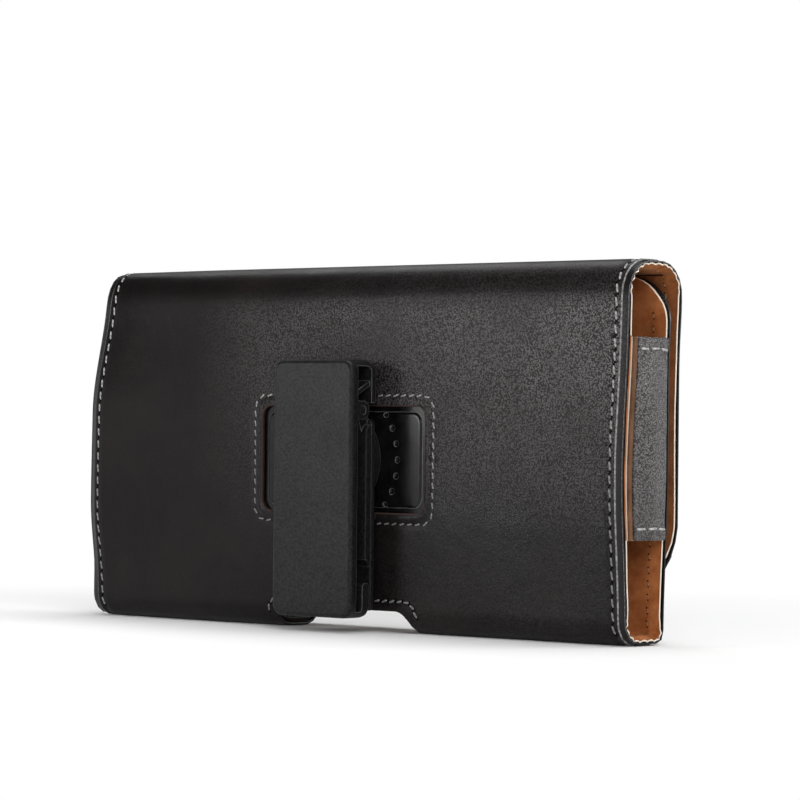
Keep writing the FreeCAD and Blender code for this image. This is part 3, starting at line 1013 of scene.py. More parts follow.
@dataclass(frozen=True)
class LeatherFinish(Finish):
    """Pebbled leather with a soft sheen, a slight brown cast and painted sheen on its pebble
    crowns.
    """

    cast: Colour = (0.012, 0.0085, 0.008)
    painted_sheen_colour: Colour = (0.2, 0.193, 0.193)
    pebbles: float = 2400.0
    grain: float = 1.0
    depth: float = 0.00016
    even: float = 0.3
    low: float = 0.08

    def draw(self, draft: Draft, shelf: dict[str, bpy.types.NodeTree]) -> None:
        """Draw the grain and the painted sheen on its pebble crowns, both stronger towards the
        right end and the top, faint on the fold.

        Args:
            draft: The material as started.
            shelf: The shared groups.
        """
        sketch = draft.sketch
        # The grain's amount, and with it the painted sheen, grows towards the right end and the
        # top, where the light falls brightest, and fades on the fold.
        across = sketch.span(sketch.along(draft.place, "X"), -0.05, 0.075,
                             self.even * self.grain, 1.25 * self.grain)
        level = sketch.along(draft.place, "Z")
        rise = sketch.math("MULTIPLY", sketch.span(level, 0.024, 0.08, self.low, 1.25),
                           sketch.span(level, 0.0765, 0.081, 1.0, 0.12))
        grain = draft.group(shelf["pebbles"], Pebbles=self.pebbles,
                            Amount=sketch.math("MULTIPLY", across, rise))
        mottle, painted_highlight = grain["Mottle"], grain["PaintedSheen"]
        cast = sketch.mix(sketch.span(mottle, 0.45, 0.68, 0.0, 0.55), opaque(self.colour),
                          opaque(self.cast))
        gloss = sketch.span(mottle, 0.3, 0.7, self.roughness - 0.05, self.roughness + 0.07)
        # Painted sheen: the pebble crowns are lightened in the base colour.
        draft.set(Base_Color=sketch.mix(painted_highlight, cast, opaque(self.painted_sheen_colour)),
                  Roughness=sketch.math("SUBTRACT", gloss, sketch.math("MULTIPLY", painted_highlight, 0.12)))
        draft.bump(grain["Height"], self.depth)


@dataclass(frozen=True)
class SuedeFinish(Finish):
    """Soft brushed lining, with painted shade on the flap's side."""

    light: Colour = (0.5, 0.185, 0.065)
    painted_flap_shade: Colour = (0.06, 0.018, 0.006)
    fibres: float = 2400.0
    depth: float = 0.00009

    def draw(self, draft: Draft, shelf: dict[str, bpy.types.NodeTree]) -> None:
        """Draw the brushed patches, the flecks, the sheen and the painted shade under the flap.

        Args:
            draft: The material as started.
            shelf: The shared groups.
        """
        sketch = draft.sketch
        nap = draft.group(shelf["nap"], Fibres=self.fibres)
        share = sketch.math("ADD", sketch.span(nap["Nap"], 0.3, 0.72),
                            sketch.span(nap["Height"], 0.35, 0.7, -0.15, 0.15))
        tone = sketch.mix(share, opaque(self.colour), opaque(self.light))
        # Painted shade: the colour darkens towards the flap's side.
        painted_flap_shade_share = sketch.span(sketch.along(draft.place, "Y"), 0.008, 0.0125, 0.0, 0.5)
        draft.set(Base_Color=sketch.mix(painted_flap_shade_share, tone, opaque(self.painted_flap_shade)), Sheen_Weight=0.35,
                  Sheen_Roughness=0.5, Sheen_Tint=(0.9, 0.55, 0.3, 1.0))
        draft.bump(nap["Height"], self.depth)


@dataclass(frozen=True)
class CutEdgeFinish(Finish):
    """The cut edge of a sheet: fibrous and a little uneven in colour."""

    dark: Colour = (0.3, 0.2, 0.12)
    fibres: float = 3200.0
    depth: float = 0.00005

    def draw(self, draft: Draft, shelf: dict[str, bpy.types.NodeTree]) -> None:
        """Draw the darker fibres.

        Args:
            draft: The material as started.
            shelf: The shared groups.
        """
        nap = draft.group(shelf["nap"], Fibres=self.fibres)
        share = draft.sketch.span(nap["Height"], 0.5, 0.75, 0.0, 0.6)
        draft.set(Base_Color=draft.sketch.mix(share, opaque(self.colour), opaque(self.dark)))
        draft.bump(nap["Height"], self.depth)


@dataclass(frozen=True)
class ThreadFinish(Finish):
    """Twisted thread, whose plies run slantwise across each stitch, with painted shade low down.
    """

    plies: float = 0.32
    ply_slant_deg: float = 38.0
    fibres: float = 5200.0
    depth: float = 0.00006
    painted_low_shade: float = 0.0

    def draw(self, draft: Draft, shelf: dict[str, bpy.types.NodeTree]) -> None:
        """Draw the plies along each stitch's own map.

        Args:
            draft: The material as started.
            shelf: The shared groups.
        """
        sketch = draft.sketch
        stitch = sketch.add("UVMap")
        stitch.uv_map = "thread"
        turned = sketch.add("Mapping", Vector=stitch.outputs[0],
                            Rotation=(0.0, 0.0, math.radians(self.ply_slant_deg)))
        ply = sketch.add("TexWave", Vector=turned.outputs[0], Scale=self.plies, Distortion=0.6,
                         Detail=1.0).outputs["Fac"]
        nap = draft.group(shelf["nap"], Fibres=self.fibres)
        tone = sketch.mix(sketch.span(ply, 0.1, 0.9, 0.7, 0.0), opaque(self.colour),
                          opaque(self.colour, 0.35))
        # Painted shade: the thread darkens towards the bottom.
        painted_low_shade_share = sketch.span(sketch.along(draft.place, "Z"), 0.03, 0.07, self.painted_low_shade, 0.0)
        draft.set(Base_Color=sketch.mix(painted_low_shade_share, tone, opaque(self.colour, 0.1)), Sheen_Weight=0.2)
        draft.bump(sketch.math("ADD", ply, sketch.math("MULTIPLY", nap["Height"], 0.5)),
                   self.depth)


@dataclass(frozen=True)
class MouldedFinish(Finish):
    """Moulded plastic: a fine spark texture, or polished with faint scratches."""

    texture: float = 3400.0
    depth: float = 0.000016
    unevenness: float = 0.08
    soft_edge: float = 0.0003
    painted_edge_highlight: Optional[Colour] = None

    def draw(self, draft: Draft, shelf: dict[str, bpy.types.NodeTree]) -> None:
        """Draw the texture, the softened edges and a painted highlight along them.

        Args:
            draft: The material as started.
            shelf: The shared groups.
        """
        sketch = draft.sketch
        softened = sketch.add("Bevel", Radius=self.soft_edge)
        softened.samples = 6
        spark = sketch.noise(draft.place, self.texture, 3.0, 0.6)
        broad = sketch.noise(draft.place, 70.0, 3.0)
        tone = sketch.mix(sketch.span(spark, 0.36, 0.64), opaque(self.colour, 0.45),
                          opaque(self.colour, 2.0))
        # Painted highlight: the colour lightens where the softened edges turn away from the face.
        if self.painted_edge_highlight is not None:
            face = sketch.add("NewGeometry").outputs["True Normal"]
            turned = sketch.fed(sketch.add("VectorMath", "DOT_PRODUCT"), softened.outputs[0], face)
            tone = sketch.mix(sketch.span(turned.outputs["Value"], 0.99, 0.86, 0.0, 0.9), tone,
                              opaque(self.painted_edge_highlight))
        draft.set(Base_Color=tone,
                  Roughness=sketch.span(broad, 0.3, 0.7, self.roughness - self.unevenness,
                                        self.roughness + self.unevenness))
        sketch.feed(draft.bump(spark, self.depth).inputs["Normal"], softened.outputs[0])


@dataclass(frozen=True)
class MetalFinish(Finish):
    """Drawn or plated metal with faint streaks."""

    streaks: float = 900.0

    def draw(self, draft: Draft, shelf: dict[str, bpy.types.NodeTree]) -> None:
        """Draw the streaks along the piece.

        Args:
            draft: The material as started.
            shelf: The shared groups.
        """
        sketch = draft.sketch
        stretched = sketch.add("Mapping", Vector=draft.place, Scale=(0.1, 1.0, 1.0))
        streak = sketch.noise(stretched.outputs[0], self.streaks, 4.0)
        tone = sketch.mix(sketch.span(streak, 0.3, 0.75, 0.0, 0.4), opaque(self.colour),
                          opaque(self.colour, 0.7))
        draft.set(Base_Color=tone, Metallic=1.0,
                  Roughness=sketch.span(streak, 0.3, 0.7, self.roughness * 0.7,
                                        self.roughness * 1.4))


class Finishes:
    """Every finish of the holster, made once."""

    def __init__(self) -> None:
        """Draw all the materials."""
        shelf = {"pebbles": pebble_group(), "nap": nap_group()}
        # The leathers carry painted sheen on their pebble crowns, brightest on the strap.
        self.leather = LeatherFinish("pressed_black_leather", (0.0058, 0.0045, 0.0047), 0.34,
                                     0.11, even=0.02).make(shelf)
        self.strap = LeatherFinish("strap_leather", (0.03, 0.026, 0.026), 0.36, 0.45,
                                   painted_sheen_colour=(0.27, 0.255, 0.255), pebbles=2300.0,
                                   depth=0.0002, even=1.0, low=0.4).make(shelf)
        self.edge_paint = LeatherFinish("painted_leather_edge", (0.005, 0.0045, 0.0045), 0.32,
                                        0.25, grain=0.15, depth=0.00003, even=1.0).make(shelf)
        # Painted highlight lines along the leather's crease and outer edge.
        self.painted_highlight = MouldedFinish("painted_highlight_leather_edge", (0.16, 0.155, 0.155), 0.35, 0.5,
                                    texture=1500.0).make(shelf)
        self.raw_edge = CutEdgeFinish("raw_leather_edge", (0.05, 0.03, 0.026), 0.75, 0.2,
                                      dark=(0.02, 0.013, 0.012)).make(shelf)
        self.board = CutEdgeFinish("pressed_board", (0.012, 0.008, 0.006), 0.85, 0.15,
                                   dark=(0.03, 0.018, 0.012)).make(shelf)
        self.cream = CutEdgeFinish("cream_cut_edge", (0.86, 0.78, 0.66), 0.8, 0.3,
                                   dark=(0.62, 0.42, 0.24)).make(shelf)
        self.suede = SuedeFinish("burnt_orange_suede", (0.27, 0.078, 0.02), 0.88,
                                 0.12).make(shelf)
        self.shaded_suede = SuedeFinish("flange_suede", (0.08, 0.035, 0.017), 0.88, 0.12,
                                        light=(0.19, 0.1, 0.06)).make(shelf)
        # Painted shade: the needle holes' mouths are dark discs.
        self.hole = CutEdgeFinish("needle_hole", (0.003, 0.003, 0.003), 0.9, 0.05,
                                  dark=(0.006, 0.005, 0.005)).make(shelf)
        self.lining_hole = CutEdgeFinish("lining_needle_hole", (0.1, 0.03, 0.01), 0.9, 0.05,
                                         dark=(0.06, 0.02, 0.008)).make(shelf)
        # The grey thread carries painted shade low down.
        self.thread = ThreadFinish("grey_thread", (0.42, 0.42, 0.42), 0.62, 0.35,
                                   painted_low_shade=0.55).make(shelf)
        self.strap_thread = ThreadFinish("strap_thread", (0.56, 0.56, 0.55), 0.6,
                                         0.35).make(shelf)
        self.pale_thread = ThreadFinish("pale_thread", (0.42, 0.24, 0.12), 0.7, 0.3).make(shelf)
        # The clip and the plate carry a painted highlight along their edges.
        self.clip = MouldedFinish("textured_black_moulding", (0.0085, 0.0085, 0.0088), 0.4,
                                  0.14, texture=1700.0, depth=0.00007, soft_edge=0.00025,
                                  painted_edge_highlight=(0.2, 0.2, 0.2)).make(shelf)
        self.plate = MouldedFinish("polished_black_moulding", (0.003, 0.003, 0.003), 0.17, 0.25,
                                   texture=260.0, depth=0.000004, unevenness=0.04,
                                   painted_edge_highlight=(0.32, 0.32, 0.32)).make(shelf)
        self.steel = MetalFinish("bright_steel", (0.72, 0.72, 0.7), 0.28).make(shelf)
        self.dark_steel = MetalFinish("blackened_steel", (0.1, 0.1, 0.1), 0.35).make(shelf)
        self.nickel = MetalFinish("nickel_plating", (0.66, 0.64, 0.6), 0.2).make(shelf)


def dress(made: bpy.types.Object, *materials: bpy.types.Material) -> None:
    """Give a piece its materials in place of any that it has.

    A new piece has none, and clearing its empty list would make all its faces alike.

    Args:
        made: The piece.
        *materials: Its materials, in the order of its faces' numbers.
    """
    if len(made.data.materials):
        made.data.materials.clear()
    for material in materials:
        made.data.materials.append(material)


def settle(made: bpy.types.Object, slot: Slot, *nodes: str) -> None:
    """Let a piece ride on the pouch and hide the imported solids in its place.

    Args:
        made: The piece.
        slot: Its material slot; not used.
        *nodes: The solids that it stands for.
    """
    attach(made, Body.POUCH.value)
    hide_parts(*nodes)


@dataclass
class Pouch:
    """The folded sheet of leather, board and lining, with the flap."""

    sizes: Sizes
    line: FoldLine
    settling: Settling
    finishes: Finishes
    seam_z: float = 6.4
    blend_start: float = 2.3
    blend_end: float = 9.5
    stitch_valley: float = 0.2
    valley_width: float = 0.85
    edge_roll: float = 0.28
    crease_inset: float = 1.85
    crease_depth: float = 0.24
    crease_half: float = 0.15
    rim_lift: float = 0.42
    rim_middle: float = 1.25
    rim_width: float = 1.15
    strap_low: float = 24.0
    strap_high: float = 70.0
    skive: float = 0.12
    skive_reach: float = 3.0
    skive_flat: float = 0.8
    feather: float = 0.2
    board_inset: float = 3.2
    board_clearance: float = 3.3
    crimp_pitch: float = 2.5
    crimp_step: float = 0.5
    notch_margin: float = 2.4
    notch_row_radius: float = 4.0
    window_row_radius: float = 3.4

    def __post_init__(self) -> None:
        """Work out where the seam, the window and the stitch rows lie on the flat sheet."""
        s = self.sizes
        self.seam_v = self.line.on_back(self.seam_z)
        self.row_u = s.half_length - s.stitch_inset
        self.window = RoundedHole(
            0.0, self.line.on_back(s.window_z - s.window_height / 2),
            self.line.on_back(s.window_z + s.window_height / 2), s.window_width / 2,
            s.window_radius)
        self.notch = RoundedHole(
            0.0, self.line.wall_end - (s.notch_height - s.front_fold_radius),
            self.line.on_back(s.notch_height), s.notch_width / 2, s.notch_radius)
        crease = s.half_length - self.crease_inset
        near_row = [self.row_u + offset
                    for offset in (-1.8, -0.9, -0.45, 0.0, 0.45, 0.9, 1.8, 2.6)]
        near_crease = [crease - self.crease_half, crease, crease + self.crease_half]
        near_window = (0.35, 0.9, 1.6, 2.3, 2.8, 3.2, 3.6, 4.2, 5.2)
        self.rows_u = tuple(side * row for side in (-1, 1) for row in near_row + near_crease)
        self.window_rows_u = tuple(side * (s.window_width / 2 + offset) for side in (-1, 1)
                                   for offset in near_window)
        self.window_rows_v = tuple(
            self.line.on_back(s.window_z + side * (s.window_height / 2 + offset))
            for side in (-1, 1) for offset in near_window)

    def near_end(self, side: float, flat: float) -> float:
        """1 at the sheet's ends and 0 further in than the skived strip."""
        half = self.sizes.half_length
        return smoothstep(half - self.skive_reach, half - flat, side)

    def outside_relief(self, u: float, v: float, outer: bool) -> float:
        """How far the outer leather stands out at a flat place.

        Args:
            u: Place along the pouch.
            v: Place along the fold line.
            outer: Whether it is the leather's outer face.

        Returns:
            The height, negative where the thread pulls the leather in.
        """
        side = abs(u)
        if not outer:
            return self.skive * self.near_end(side, self.skive_flat)
        half = self.sizes.half_length
        crease = half - self.crease_inset
        height = -self.stitch_valley * hump(side - self.row_u, self.valley_width)
        height -= self.edge_roll * smoothstep(self.row_u + 1.4, half, side)
        height -= self.crease_depth * smoothstep(crease - self.crease_half,
                                                 crease + self.crease_half, side)
        away = self.window.distance(u, v)
        if self.line.back_start < v < self.line.top_start and away < 8:
            height -= self.stitch_valley * hump(away - self.sizes.window_stitch_margin,
                                                self.valley_width)
            height += (self.rim_lift * hump(away - self.rim_middle, self.rim_width)
                       * smoothstep(-0.4, 0.5, away))
        return height

    def crimp_phase(self, v: float) -> float:
        """Where along one crimp of the lining's edge a place on the fold line is."""
        return v * 2 * math.pi / self.crimp_pitch + 1.6 * drift(2.0, v, 9.0)

    def lining_relief(self, u: float, v: float, outer: bool) -> float:
        """How far the lining's ends lie out on the leather, crimped round the folds.

        Args:
            u: Place along the pouch.
            v: Place along the fold line.
            outer: Whether it is the side that faces the leather.

        Returns:
            The height.
        """
        tight = self.tightness(v)
        wave = 0.5 + 0.5 * math.sin(self.crimp_phase(v))
        slow = 0.5 + drift(5.0 if u > 0 else 6.0, v, 14.0)
        out = (self.sizes.board + self.skive - 0.02) * (0.2 + 0.8 * tight)
        out -= 0.36 * tight * wave + 0.12 * max(0.0, slow) * (1 - 0.5 * tight)
        return self.near_end(abs(u), self.skive_flat) * (out if outer else out + self.feather)

    def lining_edge(self, u: float, v: float) -> float:
        """How far the lining's end edge wanders in or out.

        Args:
            u: Place along the pouch.
            v: Place along the fold line.

        Returns:
            The shift along the pouch.
        """
        wave = math.sin(self.crimp_phase(v) + 0.9)
        slow = drift(8.0 if u > 0 else 9.0, v, 11.0)
        out = 0.18 * self.tightness(v) * wave + 0.16 * slow + 0.28
        return math.copysign(self.near_end(abs(u), 0.6) * out, u)

    def tightness(self, v: float) -> float:
        """How tightly the sheet is bent at a place.

        Args:
            v: Place along the fold line.

        Returns:
            1 round a fold and 0 on the flat panels.
        """
        line = self.line
        low = smoothstep(line.wall_end - 4, line.wall_end + 1, v)
        low *= 1 - smoothstep(line.back_start - 2, line.back_start + 2, v)
        high = smoothstep(line.top_start - 1, line.top_start + 3, v)
        high *= 1 - smoothstep(line.flap_start - 3, line.flap_start + 2, v)
        return max(low, high)

    def settle_half(self, made: bpy.types.Object, upper: bool, slot: Slot, *nodes: str) -> None:
        """Let a lower piece ride on the pouch, leave an upper piece unattached, and hide the
        imported solids in the piece's place.

        Args:
            made: The piece.
            upper: Whether it is left where it lies rather than riding on the pouch.
            slot: Its material slot.
            *nodes: The solids that it stands for.
        """
        if not upper:
            settle(made, slot, *nodes)
            return
        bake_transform(made)
        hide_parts(*nodes)

    def build_half(self, word: str, upper: bool, slot: Slot,
                   materials: tuple[bpy.types.Material, ...], depths: tuple[float, float],
                   setback: float = 0.0, **extra: object) -> None:
        """Build one half of one layer.

        Args:
            word: What the layer is.
            upper: Whether it is the back panel with the flap, or the bottom with the wall.
            slot: Its material slot.
            materials: Its materials.
            depths: Depth of its outer and of its inner side.
            setback: How far its ends lie inside the leather's.
            **extra: More of the flat piece's fields.
        """
        s = self.sizes
        low_v, high_v = (self.seam_v, self.line.end) if upper else (0.0, self.seam_v)
        piece = FlatPiece(
            ("back_and_flap_" if upper else "bottom_and_wall_") + word,
            s.half_length - setback, low_v, high_v, *depths,
            low_radius=0.0 if upper else s.wall_corner_radius,
            high_radius=s.flap_corner_radius if upper else 0.0, seam_v=self.seam_v, **extra)
        made = piece.make(self.line, self.settling, s.drawing_y)
        dress(made, *materials)
        lower_node = "outer_wrap" if slot is Slot.LEATHER else "wrap_" + word
        self.settle_half(made, upper, slot, "flap_" + word if upper else lower_node)

    def build_leather(self) -> None:
        """The outer sheet: back panel with flap, and bottom fold with front wall."""
        looks = self.finishes
        for upper in (True, False):
            self.build_half(
                "leather", upper, Slot.LEATHER,
                (looks.leather, looks.edge_paint, looks.raw_edge if upper else looks.edge_paint,
                 looks.painted_highlight),
                (0.0, self.sizes.leather), holes=(self.window,) if upper else (self.notch,),
                rows_u=self.rows_u + (self.window_rows_u if upper else ()),
                rows_v=self.window_rows_v if upper else (), relief=self.outside_relief,
                edge_round=0.24, painted=self.crease_inset)

    def build_board(self) -> None:
        """The stiffener between the leather and the lining."""
        s, room = self.sizes, self.board_clearance
        plate_hole = RoundedHole(0.0, self.window.low_v - room, self.window.high_v + room,
                                 self.window.half_width + room, self.window.radius + room)
        for upper in (True, False):
            self.build_half("board", upper, Slot.BOARD, (self.finishes.board,) * 3,
                            (s.leather, s.leather + s.board), self.board_inset,
                            holes=(plate_hole,) if upper else (self.notch,), step=4.0)

    def build_lining(self) -> None:
        """The lining, with its pale cut edge crimped round the folds."""
        s, line, looks = self.sizes, self.line, self.finishes
        crimp = tuple(side * (s.half_length - offset) for side in (-1, 1)
                      for offset in (0.8, 1.2, 1.7, 2.3, 3.0))
        for upper in (True, False):
            fold_low = line.top_start - 2 if upper else line.wall_end - 4
            fold_high = line.flap_start + 2 if upper else line.back_start + 2
            count = round((fold_high - fold_low) / self.crimp_step)
            self.build_half(
                "lining", upper, Slot.LINING, (looks.suede, looks.cream, looks.edge_paint),
                (s.leather + s.board, s.sheet), s.setback, holes=() if upper else (self.notch,),
                rows_u=crimp, rows_v=tuple(fold_low + (fold_high - fold_low) * i / count
                                           for i in range(count + 1)),
                # The lining's outer face is painted black near its ends, as shade in the gap
                # behind the leather's end.
                step=2.2, edge_round=0.1, blackened=3.0,
                plain=(line.on_back(self.strap_low), line.on_back(self.strap_high)),
                relief=self.lining_relief, drift_u=self.lining_edge)

    def sew(self, rows: StitchRows, upper: bool, *nodes: str,
            valley: Optional[float] = None) -> None:
        """Make a group of rows and put it in its place.

        Args:
            rows: The rows.
            upper: Whether the rows are left where they lie rather than riding on the pouch.
            *nodes: The solids that they stand for.
            valley: How deep the thread lies, if not as deep as on the leather.
        """
        depth = self.stitch_valley if valley is None else valley
        made = rows.make(self.line, self.settling, self.sizes.drawing_y, depth)
        if rows.face > 0:
            dress(made, self.finishes.thread, self.finishes.hole)
        else:
            dress(made, self.finishes.pale_thread, self.finishes.lining_hole)
        self.settle_half(made, upper, Slot.THREAD, *nodes)

    def build_stitching(self) -> None:
        """The sewn rows of the pouch and the flap, outside and inside."""
        s = self.sizes
        style = StitchStyle()
        wall_from = s.wall_corner_radius - s.stitch_inset
        for end, side in (("left", -1), ("right", 1)):
            rows = StitchRows(end + "_edge_thread", style)
            u = side * self.row_u
            rows.straight((u, self.line.top_start), (u, self.line.back_start - 3.4))
            rows.straight((u, self.line.wall_end + 1.2), (u, wall_from))
            self.sew(rows, False, end + "_edge_stitching")

        short = StitchStyle(length=1.9, width=0.5, height=0.3, slant_deg=15.0, pitch=2.4)
        window = StitchRows("window_thread", short)
        window.round_hole(self.window, s.window_stitch_margin, self.window_row_radius)
        self.sew(window, False, "window_stitching")

        notch = StitchRows("notch_thread", short)
        radius = self.notch_row_radius
        half = s.notch_width / 2 + self.notch_margin - radius
        v = self.line.on_back(s.notch_height + self.notch_margin)
        notch.straight((-half, v), (half, v))
        notch.arc((half, v - radius), radius, 90, -90)
        notch.arc((-half, v - radius), radius, 90, 90)
        self.sew(notch, False, "notch_stitching", valley=0.0)

        flap = StitchRows("flap_thread", style)
        radius = s.flap_corner_radius - s.stitch_inset
        low_v = self.line.end - s.stitch_inset
        for side in (-1, 1):
            u = side * self.row_u
            flap.straight((u, self.line.top_start), (u, low_v - radius))
            flap.arc((u - side * radius, low_v - radius), radius, 0 if side > 0 else 180,
                     90 * side)
        flap.straight((self.row_u - radius, low_v), (-self.row_u + radius, low_v))
        self.sew(flap, True, "flap_stitching")

        inner = StitchStyle(length=1.3, width=0.34, height=0.12, hole_radius=0.27)
        runs = {"flap": (self.line.on_back(8.0), low_v - radius),
                "wall": (wall_from, self.line.on_back(4.0))}
        for word, (start_v, end_v) in runs.items():
            rows = StitchRows(word + "_inner_thread", inner, depth=s.sheet, face=-1)
            for side in (-1, 1):
                rows.straight((side * self.row_u, start_v), (side * self.row_u, end_v))
            self.sew(rows, word == "flap", valley=0.0)

    def build(self) -> None:
        """Build every layer and row."""
        self.build_leather()
        self.build_board()
        self.build_lining()
        self.build_stitching()


@dataclass
class EndStrap:
    """One end strap: pebbled leather outside, its lining, and the lining's flange."""

    sizes: Sizes
    settling: Settling
    finishes: Finishes
    side: int
    low: float = 24.0
    high: float = 70.3
    leather: float = 0.8
    lining: float = 0.8
    flange: float = 1.6
    flange_depth: float = 6.0
    flange_proud: float = 0.4
    hem: float = 2.6
    tuck: float = 2.2
    hem_rise: float = 0.22
    bulge: float = 0.35
    step: float = 0.55
    edge_round: float = 0.26

    @property
    def label(self) -> str:
        """The end's name."""
        return "right" if self.side > 0 else "left"

    @property
    def start_y(self) -> float:
        """Where the strap's leather starts, past the flange."""
        return self.sizes.sheet + self.flange

    @property
    def width(self) -> float:
        """How wide the strap's leather is, up to its tuck behind the wall."""
        return self.sizes.wall_y - self.tuck - self.start_y

    def face_relief(self, y: float, z: float) -> float:
        """How far the strap's face stands out, with its turned hems and soft wrinkles.

        Args:
            y: Place across the strap, from its start.
            z: Height.

        Returns:
            The height above the flat strap.
        """
        middle = (self.low + self.high) / 2
        bulge = self.bulge * (1 - ((z - middle) / (self.high - middle)) ** 2)
        bulge *= 1 - (2 * y / self.width - 1) ** 2
        hems = smoothstep(self.high - self.hem - 0.5, self.high - self.hem + 0.3, z)
        hems += 1 - smoothstep(self.low + self.hem - 0.3, self.low + self.hem + 0.5, z)
        crinkle = noise.noise(Vector((y * 0.5, z * 0.22, 4.0 + self.side)))
        messy = noise.noise(Vector((y * 1.1, z * 1.3, 9.0)))
        messy *= smoothstep(self.high - 6.5, self.high - 2.0, z)
        return bulge + self.hem_rise * hems + 0.16 * crinkle + 0.55 * messy

    def slab(self, name: str, out: float, back: float, y0: float, y1: float,
             relief: bool = False) -> bpy.types.Object:
        """A flat slab across the end, with a fine grid on its faces and rounded edges.

        Args:
            name: What follows the end's name in the piece's name.
            out: Place of its outer face along X, from the middle.
            back: Place of its inner face.
            y0: Its edge at the back panel.
            y1: Its edge at the front wall.
            relief: Whether its outer face is shaped.

        Returns:
            The slab.
        """
        width, height = y1 - y0, self.high - self.low
        bm = bmesh.new()
        bmesh.ops.create_grid(bm, x_segments=max(2, round(width / self.step)),
                              y_segments=round(height / self.step), size=1.0)
        bmesh.ops.scale(bm, vec=(width / 2, height / 2, 1), verts=bm.verts)
        bmesh.ops.translate(bm, vec=((y0 + y1) / 2, (self.low + self.high) / 2, 0),
                            verts=bm.verts)
        bmesh.ops.solidify(bm, geom=bm.faces[:], thickness=out - back)
        bm.normal_update()
        rim = [edge for edge in bm.edges if len(edge.link_faces) == 2 and
               abs(edge.link_faces[0].normal.dot(edge.link_faces[1].normal)) < 0.1]
        bmesh.ops.bevel(bm, geom=rim, offset=self.edge_round, offset_type="OFFSET", segments=3,
                        profile=0.5, affect="EDGES", material=-1)
        bm.normal_update()
        for face in bm.faces:
            face.material_index = 0 if relief or abs(face.normal.z) > FLAT_ENOUGH else 1
        for vert in bm.verts:
            y, z, level = vert.co.x, vert.co.y, vert.co.z
            lift = 0.0
            ragged = 0.0
            if relief and level > -self.leather / 2:
                lift = self.face_relief(y - y0, z)
            if relief and z > self.high - 1.0:
                ragged = 0.35 * noise.noise(Vector((y * 0.9, 3.0, self.side)))
            vert.co = self.settling.move(
                Vector((self.side * (out + level + lift), y, z + ragged)))
        if self.side < 0:
            bmesh.ops.reverse_faces(bm, faces=bm.faces)
        return finished(bm, self.label + name, self.sizes.drawing_y)

    def build(self) -> None:
        """Build the strap, its lining and the lining's flange."""
        s = self.sizes
        end_x = s.half_length
        strap = self.slab("_end_strap", end_x + self.leather, end_x, self.start_y,
                          self.start_y + self.width, relief=True)
        dress(strap, self.finishes.strap)
        settle(strap, Slot.LEATHER, self.label + "_gusset")
        backing = self.slab("_strap_backing", end_x, end_x - self.lining, s.sheet + 0.05,
                            s.wall_y - s.sheet)
        dress(backing, self.finishes.suede, self.finishes.cream)
        flange = self.slab("_strap_flange", end_x + self.flange_proud,
                           end_x - self.flange_depth, s.sheet + 0.1, self.start_y - 0.05)
        dress(flange, self.finishes.shaded_suede, self.finishes.shaded_suede)
        for made in (backing, flange):
            settle(made, Slot.LINING, self.label + "_gusset_lining")


@dataclass
class StrapThread:
    """The hem stitches across both end straps."""

    straps: tuple[EndStrap, ...]
    count: int = 3
    length: float = 2.3
    width: float = 0.62
    height: float = 0.42

    def bar(self, bm: bmesh.types.BMesh, strap: EndStrap, level: int, index: int) -> None:
        """Add one stitch as a small plump bar on a strap's face.

        Args:
            bm: The mesh of all the stitches.
            strap: The strap.
            level: 0 at the low hem and 1 at the high one.
            index: Which stitch of the hem it is.
        """
        y = strap.width * (index + 0.5) / self.count
        z = (strap.low + strap.hem, strap.high - strap.hem)[level]
        wobble = noise.noise(Vector((index * 1.7, strap.side * 2.3, level * 5.1 + 0.4)))
        verts = bmesh.ops.create_uvsphere(bm, u_segments=8, v_segments=7, radius=1.0)["verts"]
        marks = bm.loops.layers.uv["thread"]
        for face in {face for vert in verts for face in vert.link_faces}:
            for loop in face.loops:
                loop[marks].uv = (loop.vert.co.z * 1.2, loop.vert.co.x * 0.3)
        for vert in verts:
            vert.co = Vector((vert.co.x * self.height, plump(vert.co.z) * self.length / 2,
                              vert.co.y * self.width / 2))
        out = strap.sizes.half_length + strap.leather + strap.face_relief(y, z) - 0.05
        turn = Matrix.Translation((strap.side * out, strap.start_y + y, z + 0.4 * wobble))
        bmesh.ops.transform(bm, matrix=turn @ Matrix.Rotation(0.35 * wobble, 4, "X"), verts=verts)

    def build(self) -> None:
        """Build both hems' stitches on every strap."""
        bm = bmesh.new()
        bm.loops.layers.uv.new("thread")
        for strap in self.straps:
            for level in (0, 1):
                for index in range(self.count):
                    self.bar(bm, strap, level, index)
        strap = self.straps[0]
        for vert in bm.verts:
            vert.co = strap.settling.move(vert.co)
        made = finished(bm, "strap_thread", strap.sizes.drawing_y, sharp_deg=THREAD_SHARP_DEG)
        dress(made, strap.finishes.strap_thread)
        settle(made, Slot.THREAD, "gusset_stitching")


@dataclass
class Clip:
    """The moulded clip, its plate and its steel parts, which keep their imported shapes."""

    finishes: Finishes

    def build(self) -> None:
        """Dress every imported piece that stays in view."""
        looks = self.finishes
        plan = {
            "clip_lever": (looks.clip, Slot.PLASTIC),
            "clip_body": (looks.clip, Slot.PLASTIC),
            "swivel_plate": (looks.plate, Slot.PLATE),
            "hinge_pin": (looks.dark_steel, Slot.STEEL),
            "torsion_spring": (looks.steel, Slot.STEEL),
            "retaining_ring": (looks.steel, Slot.STEEL),
            "wall_magnets": (looks.nickel, Slot.MAGNET),
            "flap_magnets": (looks.nickel, Slot.MAGNET),
        }
        for name, (material, slot) in plan.items():
            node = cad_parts[name]
            dress(node, material)
            LOG.info("%s: dressed in %s", name, material.name)


